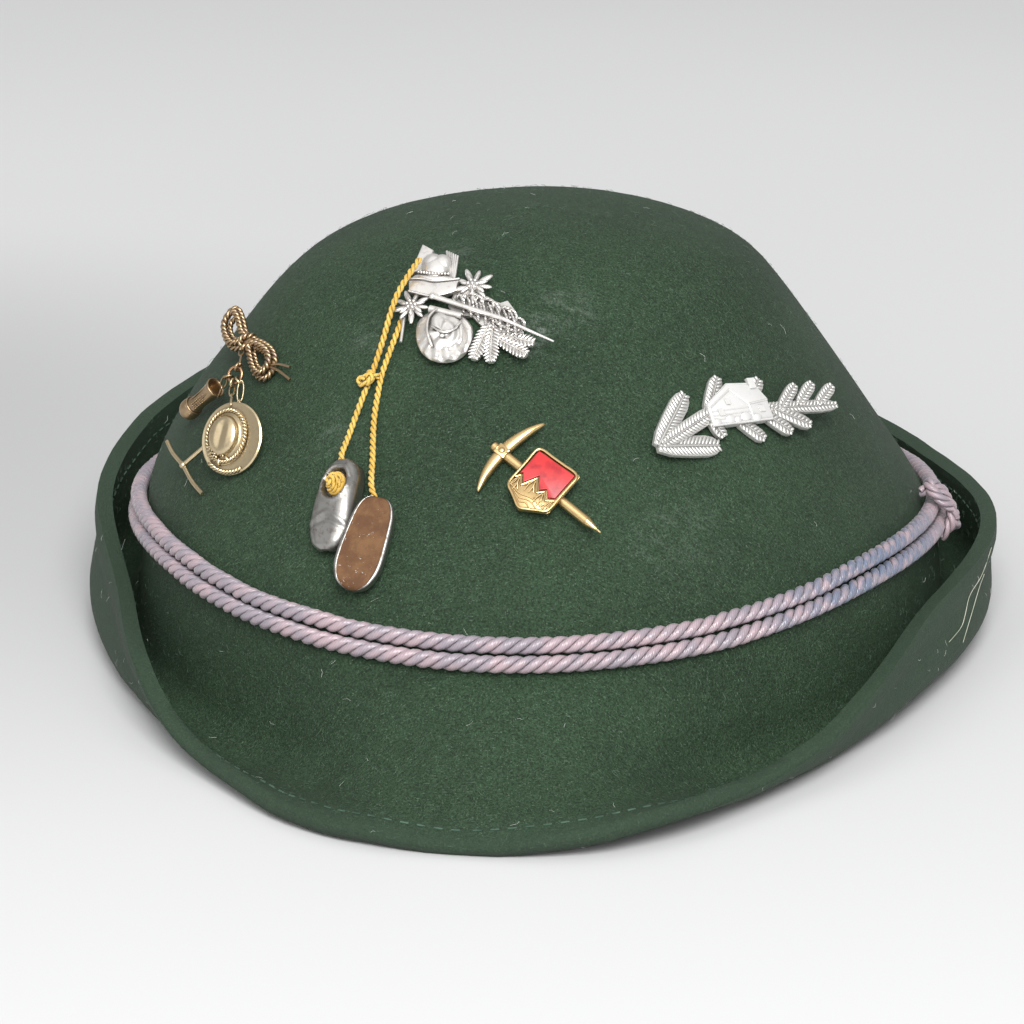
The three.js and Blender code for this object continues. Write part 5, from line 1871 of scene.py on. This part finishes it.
@dataclass
class FirPin:
    """Frosted pewter fir branch with a plaque in the form of a hut."""

    form: HatForm
    place: Place = Place(43, 0.36, 0.5)
    span: float = 48
    plate: float = 1.2
    leaves: tuple[Leaf, ...] = (
        Leaf(-41, -5, -11, -11, 4.2),
        Leaf(-41, -5, -17, 14, 3.8),
        Leaf(-39, -5, -6, 4, 3.2),
        Leaf(-10, 3, 3, 18, 3),
        Leaf(12, 4, 23, 13, 3),
        Leaf(-10, 2, -7, -8, 2.6),
        Leaf(3, -1, 13, -13, 2.8),
        Leaf(16, 0, 28, -13, 2.8),
        Leaf(22, 0, 39, -12, 2.8),
        Leaf(14, 1, 57, -6, 2.5),
        Leaf(27, -2, 40, 7, 2.4),
        Leaf(37, -2, 49, 6, 2.4),
        Leaf(47, -4, 59, 3, 2.4),
    )
    hut: Outline = ((-11, -3), (20, -6), (21, 3), (18, 10), (15, 12), (4, 14), (-10, 7))

    def build(self) -> bpy.types.Object:
        """Model the branch and the hut in one casting."""
        unit = self.span / 100
        pin = Workpiece("fir_brooch", self.form.frame(self.place))
        for i, leaf in enumerate(self.leaves):
            start, end = Vector((leaf.x, leaf.y)) * unit, Vector((leaf.to_x, leaf.to_y)) * unit
            pin.frond(start, end, leaf.wide * unit, (i % 3) * 0.1, self.plate * 0.78, 0.88)
        branch = set(pin.bm.faces)
        pin.plate(self.hut, unit, 0.1, self.plate * 1.5, 0.12)
        self.roof(pin)
        for face in pin.bm.faces:
            face.material_index = 0 if face in branch else 1
        finishes = [FROSTY_PEWTER.material("frosted_pewter"), WHITE_PEWTER.material("white_pewter")]
        return pin.finish(finishes, "bright_pewter", ["fir_pin"], 40)

    def roof(self, pin: Workpiece) -> None:
        """Roof lines, chimney, boards, window and door on the plaque."""
        unit = self.span / 100
        top = 0.1 + self.plate * 1.5

        def line(points: Sequence[tuple[float, float]], radius: float) -> None:
            """Raised line on the plaque."""
            spots = [Vector((x * unit, y * unit, top)) for x, y in points]
            for a, b in zip(spots, spots[1:]):
                pin.rod(a, b, radius, radius, 8)

        slope = ((-10, 6.6), (-9.4, 5.2), (3.8, 11.2), (10.4, 3.2), (20.8, 3.2), (18, 9.6), (4.2, 13.6))
        pin.plate(slope, unit, top - 0.1, 0.35, 0.1)
        line(((-9.6, 5.0), (3.9, 11.0), (10.6, 3.0)), 0.2)
        line(((10.6, 3.0), (20.8, 3.0)), 0.2)
        line(((-10.4, -2.6), (-9.6, 5.0)), 0.2)
        line(((10.0, -4.6), (10.6, 3.0)), 0.2)
        line(((-10.6, -2.8), (19.6, -5.7)), 0.24)
        for k in range(5):
            line(((12.4 + 1.7 * k, 4.2), (6.4 + 2.5 * k, 12.2 - 0.5 * k)), 0.09)
        for k in range(3):
            line(((-9.9 + 0.3 * k, -0.6 + 1.9 * k), (9.9 + 0.2 * k, -2.3 + 1.9 * k)), 0.09)
        pin.plate(((14.4, 9), (17.6, 8.7), (17.8, 13.4), (14.6, 13.8)), unit, top - 0.4, 0.9, 0.1)
        for x, y, wide, tall in ((-6, 0.6, 2.6, 3), (-0.6, 4.8, 2.2, 2.4), (14.8, -1.6, 2.8, 2.8)):
            pane = ((x, y), (x + wide, y - 0.3), (x + wide, y + tall - 0.3), (x, y + tall))
            pin.plate(pane, unit, top - 0.15, 0.32, 0.1)
        for x, y, half in ((-8.6, -1.6, 1.0), (-1.5, -1.8, 1.3), (2, -2.6, 1.0), (6.5, -2.2, 1.35),
            (12, -3.6, 1.1)):
            pin.pebble((x * unit, y * unit, top), (half, half * 0.75, 0.4), 0, 12, 8)


@dataclass
class ClogCord:
    """Yellow twisted cord with its knot and the two small clogs that hang on it."""

    form: HatForm
    diameter: float = 1.3
    clog_length: float = 19.5
    clog_width: float = 9.4
    clog_height: float = 5
    left_length: float = 49.0
    right_length: float = 44.0
    sole_share: float = 0.56
    left_route: tuple[Place, ...] = (
        Place(-27.7, 0.666, 5.2),
        Place(-27.3, 0.625, 5.3),
        Place(-27.2, 0.583, 5.3),
        Place(-27.3, 0.548, 4.4),
        Place(-27.7, 0.503, 2.2),
        Place(-27.9, 0.462, 1.05),
        Place(-27.8, 0.433, 1.05),
        Place(-27.8, 0.394, 1.05),
        Place(-27.3, 0.344, 1.6),
        Place(-26.3, 0.304, 3.4),
    )
    right_route: tuple[Place, ...] = (
        Place(-26.3, 0.552, 1.05),
        Place(-26.0, 0.521, 1.05),
        Place(-25.8, 0.482, 1.05),
        Place(-25.7, 0.448, 1.05),
        Place(-25.2, 0.42, 1.05),
        Place(-23.9, 0.37, 1.05),
        Place(-21.6, 0.315, 1.9),
        Place(-19.8, 0.268, 3.2),
    )
    clog_left: Place = Place(-24.6, 0.232, 3.4)
    clog_right: Place = Place(-18.4, 0.181, 3.2)

    def dressed(self, name: str, length: float) -> bpy.types.Material:
        """Golden yellow cotton."""
        finish = CordFinish(
            (0.6, 0.36, 0.045), (0.72, 0.47, 0.085), (0.42, 0.22, 0.03),
            self.form.point(self.left_route[0]), 9, 0.3, 0.6, 3,
        )
        return finish.material(name, length, 2.4)

    def build(self) -> None:
        left_frame = self.clog_frame(self.clog_left, 8, -8)
        right_frame = self.clog_frame(self.clog_right, -1, 192)
        left = self.clog("left", left_frame)
        right = self.clog("right", right_frame)
        others = [left, self.lace(left_frame), self.knot()]
        self.strand("left", self.left_route, left_frame, self.left_length)
        self.strand("right", self.right_route, right_frame, self.right_length)

    def clog_frame(self, place: Place, turn: float, lean: float) -> Matrix:
        """Frame of a clog, turned in the felt's plane and leaned about its length, in degrees."""
        frame = self.form.frame(place) @ Matrix.Rotation(math.radians(turn), 4, "Z")
        return frame @ Matrix.Rotation(math.radians(lean), 4, "Y")

    def strand(
        self, side: str, route: Sequence[Place], clog: Matrix, length: float,
    ) -> None:
        """One strand of the cord, from the brooch into the heel of its clog.

        Args:
            side: Its name.
            route: Places that it passes.
            clog: Frame of its clog.
            length: Its real length, in millimetres.
        """
        heel = clog @ Vector((0, self.clog_length * 0.44, 0)) / MM
        points = [*(self.form.point(place) for place in route), heel]
        path = even_points(points, 1.5)
        log.info("yellow strand %s measures %.1f mm", side, path_length(path))
        piece = Workpiece(f"yellow_cord_{side}")
        piece.rope(points, self.diameter, 3.0, 2, False, 8)
        shown = piece.finish(self.dressed(f"yellow_cotton_{side}", length), "yellow_cord",
            [f"clog_cord_{side}"], 80)

    def knot(self) -> bpy.types.Object:
        """Lumpy knot that holds both strands together."""
        frame = self.form.frame(Place(-27.2, 0.432, 1.05))
        piece = Workpiece("yellow_knot", frame)
        front = self.diameter / 2 + self.form.seat_gap
        wrap = [(-1.2, -0.9, 0.2), (-0.9, -0.2, 1.5), (0.1, 0.5, 2.1), (1.1, 0.9, 1.4), (1.3, 1.0, 0.2)]
        over = [(-0.8, 1.3, 0.9), (0.2, 0.9, 2.0), (0.9, -0.3, 2.1), (0.2, -1.2, 1.6), (-0.9, -1.3, 1.2)]
        tail = [(-0.6, -0.8, 1.7), (-1.5, -0.3, 1.7), (-2.1, -0.9, 1.3), (-1.7, -1.5, 1.0), (-0.8, -1.2, 1.2)]
        for points in (wrap, over, tail):
            piece.rope([Vector(p) for p in points], self.diameter * 0.95, 2.8, 2, False, 8)
        piece.pebble((0.1, 0, front + 0.3), (1.1, 1.4, 0.7))
        return piece.finish(self.dressed("yellow_cotton_knot", 12), "yellow_cord", ["clog_cord_knot"], 80)

    def lace(self, frame: Matrix) -> bpy.types.Object:
        """End of the cord, wound and stuffed in the left clog's opening."""
        piece = Workpiece("yellow_lace", frame)
        centre = Vector((0, 0.2 * self.clog_length, self.clog_height / 2))
        coil = []
        for i in range(22):
            a = i * 0.95
            wide, tall = 1.5 - 0.045 * i, 2.0 - 0.06 * i
            coil.append(centre + Vector((wide * math.cos(a), tall * math.sin(a), -1.0 + 0.105 * i)))
        piece.rope(coil, self.diameter, 2.8, 2, False, 8)
        piece.pebble(centre + Vector((0, 0, -1.2)), (2.0, 2.5, 1.2), 0, 20, 10)
        return piece.finish(self.dressed("yellow_cotton_lace", 60), "yellow_cord", ["clog_lace"], 80)

    def clog(self, side: str, frame: Matrix) -> bpy.types.Object:
        """Cast clog with an open mouth, a lip round it, a ridge over the toe and a rimmed sole.

        Args:
            side: Its name.
            frame: Its frame.

        Returns:
            The clog.
        """
        clog = Workpiece(f"pewter_clog_{side}", frame)
        clog.bent(56, 72, self.clog_point)
        layer = clog.bm.loops.layers.uv.active
        for face in clog.bm.faces:
            angles = [TAU * loop[layer].uv.x for loop in face.loops]
            below = all(math.sin(a) < 0 and abs(math.cos(a)) < self.sole_share for a in angles)
            face.material_index = 1 if below else 0
        metal = DULL_PEWTER.material(f"dull_pewter_{side}")
        return clog.finish([metal, SoleFinish().material(f"worn_sole_{side}")], "dull_pewter",
            [f"clog_{side}"], 50)

    def clog_point(self, s: float, r: float) -> Vector:
        """Point of a clog's surface: s goes round its section and r from the toe to the heel.

        Args:
            s: Share of the way round.
            r: Share of the way along.

        Returns:
            The point, in millimetres.
        """
        rows = (
            (-0.5, 0.12, 0.3, 0.5), (-0.475, 0.25, 0.14, 0.62), (-0.43, 0.355, 0.05, 0.72),
            (-0.34, 0.445, 0.01, 0.8), (-0.25, 0.49, 0.0, 0.86), (-0.12, 0.5, 0.0, 0.94),
            (0.02, 0.485, 0.0, 1.0), (0.18, 0.46, 0.0, 0.98), (0.32, 0.42, 0.0, 0.93),
            (0.42, 0.34, 0.0, 0.84), (0.475, 0.23, 0.02, 0.74), (0.5, 0.1, 0.1, 0.6),
        )
        x = r * (len(rows) - 1)
        y, wide, low, high = (along([row[k] for row in rows], x) for k in range(4))
        if r in (0.0, 1.0):
            wide, low, high = 0.0, (low + high) / 2, (low + high) / 2
        a = TAU * s
        middle, half = (low + high) / 2, (high - low) / 2
        above = math.sin(a) > 0
        across = wide * math.copysign(abs(math.cos(a)) ** (0.82 if above else 0.3), math.cos(a))
        if above:
            z = min(middle + half * math.sin(a) * 1.12, high)
        else:
            z = middle - half * abs(math.sin(a)) ** 0.28
            across *= 1 + 0.05 * smooth(-math.sin(a) / 0.6)
        point = Vector((across * self.clog_width, y * self.clog_length, (z - 0.5) * self.clog_height))
        if not above and 0 < r < 1:
            point.z += 0.3 * smooth((self.sole_share - abs(math.cos(a))) / 0.1)
        if above:
            away = math.hypot(point.x / (0.27 * self.clog_width), (y - 0.2) / 0.16)
            point.z -= 0.55 * self.clog_height * smooth((1.1 - away) / 0.22)
            point.z += 0.3 * (1 - smooth(abs(away - 1.28) / 0.16))
            point.z += 0.28 * (1 - smooth(abs(y + 0.12 + 0.25 * abs(across)) / 0.028))
            point.z -= 0.22 * (1 - smooth(abs(y + 0.2 + 0.2 * abs(across)) / 0.03))
        return point


class LampSide(Enum):
    """Sides from which the studio's lamps shine."""

    KEY = (12, 42, 1.25, 0.6, 14.0)
    FILL = (-44, 34, 1.5, 1.2, 3.0)
    TOP = (0, 86, 1.3, 1.5, 2.4)
    FRONT = (5, 26, 1.5, 0.6, 9.0)


@dataclass
class Studio:
    """Pale floor, soft light and the camera at the photograph's angle."""

    form: HatForm
    azimuth: float = 6
    elevation: float = 19
    distance: float = 850
    focal_pixels: float = 3920
    frame_pixels: float = 1024
    aim: tuple[float, float, float] = (-6.5, 0, 25)
    floor_size: float = 6

    def build(self) -> None:
        """Set the camera, the floor, the lamps and the air."""
        self.camera()
        floor = Workpiece("studio_floor", Matrix.Identity(4))
        bmesh.ops.create_grid(floor.bm, x_segments=8, y_segments=8, size=self.floor_size / 2)
        mesh = bpy.data.meshes.new("studio_floor")
        floor.bm.to_mesh(mesh)
        floor.bm.free()
        paper = Shader("white_paper")
        tone = paper.mix(paper.noise(3, 2), (0.78, 0.78, 0.78), (0.84, 0.84, 0.84))
        # Painted shade: the floor is darkened towards a wide patch in front of the hat and a smaller, darker
        # patch at its left.
        tone = paper.mix(paper.near(Vector((0, -0.25, 0)), 0.85), tone, (0.6, 0.6, 0.6))
        tone = paper.mix(paper.near(Vector((-0.2, 0.08, 0)), 0.26), tone, (0.5, 0.5, 0.5))
        paper.set(Base_Color=tone, Roughness=0.7)
        mesh.materials.append(paper.material)
        ground = bpy.data.objects.new("studio_floor", mesh)
        bpy.context.scene.collection.objects.link(ground)
        for side in LampSide:
            self.lamp(side)
        self.air()

    def camera(self) -> None:
        """Camera at the photograph's viewing angle."""
        target = (Vector(self.aim) + self.form.shift) * MM
        back = self.direction(self.azimuth, self.elevation)
        lens = bpy.data.cameras.new("camera")
        lens.sensor_width = 36
        lens.lens = self.focal_pixels / self.frame_pixels * lens.sensor_width
        lens.clip_start, lens.clip_end = 0.05, 50
        camera = bpy.data.objects.new("camera", lens)
        camera.location = target + back * self.distance * MM
        camera.rotation_euler = (-back).to_track_quat("-Z", "Y").to_euler()
        bpy.context.scene.collection.objects.link(camera)
        bpy.context.scene.camera = camera

    @staticmethod
    def direction(azimuth: float, elevation: float) -> Vector:
        """Direction from the hat towards a place, both angles in degrees."""
        a, e = math.radians(azimuth), math.radians(elevation)
        return Vector((math.sin(a) * math.cos(e), -math.cos(a) * math.cos(e), math.sin(e)))

    def lamp(self, side: LampSide) -> None:
        """Large soft lamp that faces the hat."""
        azimuth, elevation, away, size, power = side.value
        light = bpy.data.lights.new(f"lamp_{side.name.lower()}", "AREA")
        light.shape = "DISK"
        light.size = size
        light.energy = power
        lamp = bpy.data.objects.new(light.name, light)
        back = self.direction(azimuth, elevation)
        lamp.location = back * away + Vector((0, 0, 0.04))
        lamp.rotation_euler = (-back).to_track_quat("-Z", "Y").to_euler()
        bpy.context.scene.collection.objects.link(lamp)

    @staticmethod
    def air() -> None:
        """Even pale light from all round."""
        world = bpy.data.worlds.new("studio_air")
        world.use_nodes = True
        backdrop = world.node_tree.nodes["Background"]
        backdrop.inputs["Color"].default_value = (0.97, 0.975, 0.985, 1)
        backdrop.inputs["Strength"].default_value = 0.46
        bpy.context.scene.world = world
        bpy.context.scene.view_settings.view_transform = "Standard"


def dress_posts(nodes: Iterable[str]) -> None:
    """Give the hidden posts inside the crown a plain brass finish."""
    brass = PLAIN_BRASS.material("plain_brass")
    for name in nodes:
        post = bpy.data.objects[name]
        post.data.materials.clear()
        post.data.materials.append(brass)


def main() -> None:
    """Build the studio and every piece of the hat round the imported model."""
    logging.basicConfig(level=logging.INFO, format="%(name)s: %(message)s")
    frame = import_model()
    felt = frame["nodes"]["felt_body"]
    apex = max((v.co for v in felt.data.vertices), key=lambda co: co.z).copy()
    form = HatForm(apex=apex)
    Studio(form).build()
    ClogCord(form).build()
    FeltBody(form).build()
    CordBand(form).build()
    RopeBow(form).build()
    Charms(form).build()
    TrophyPin(form).build()
    PickaxePin(form).build()
    FirPin(form).build()
    dress_posts(name for name in frame["nodes"] if name.endswith("_post"))
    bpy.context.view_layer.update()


if __name__ == "__main__":
    main()
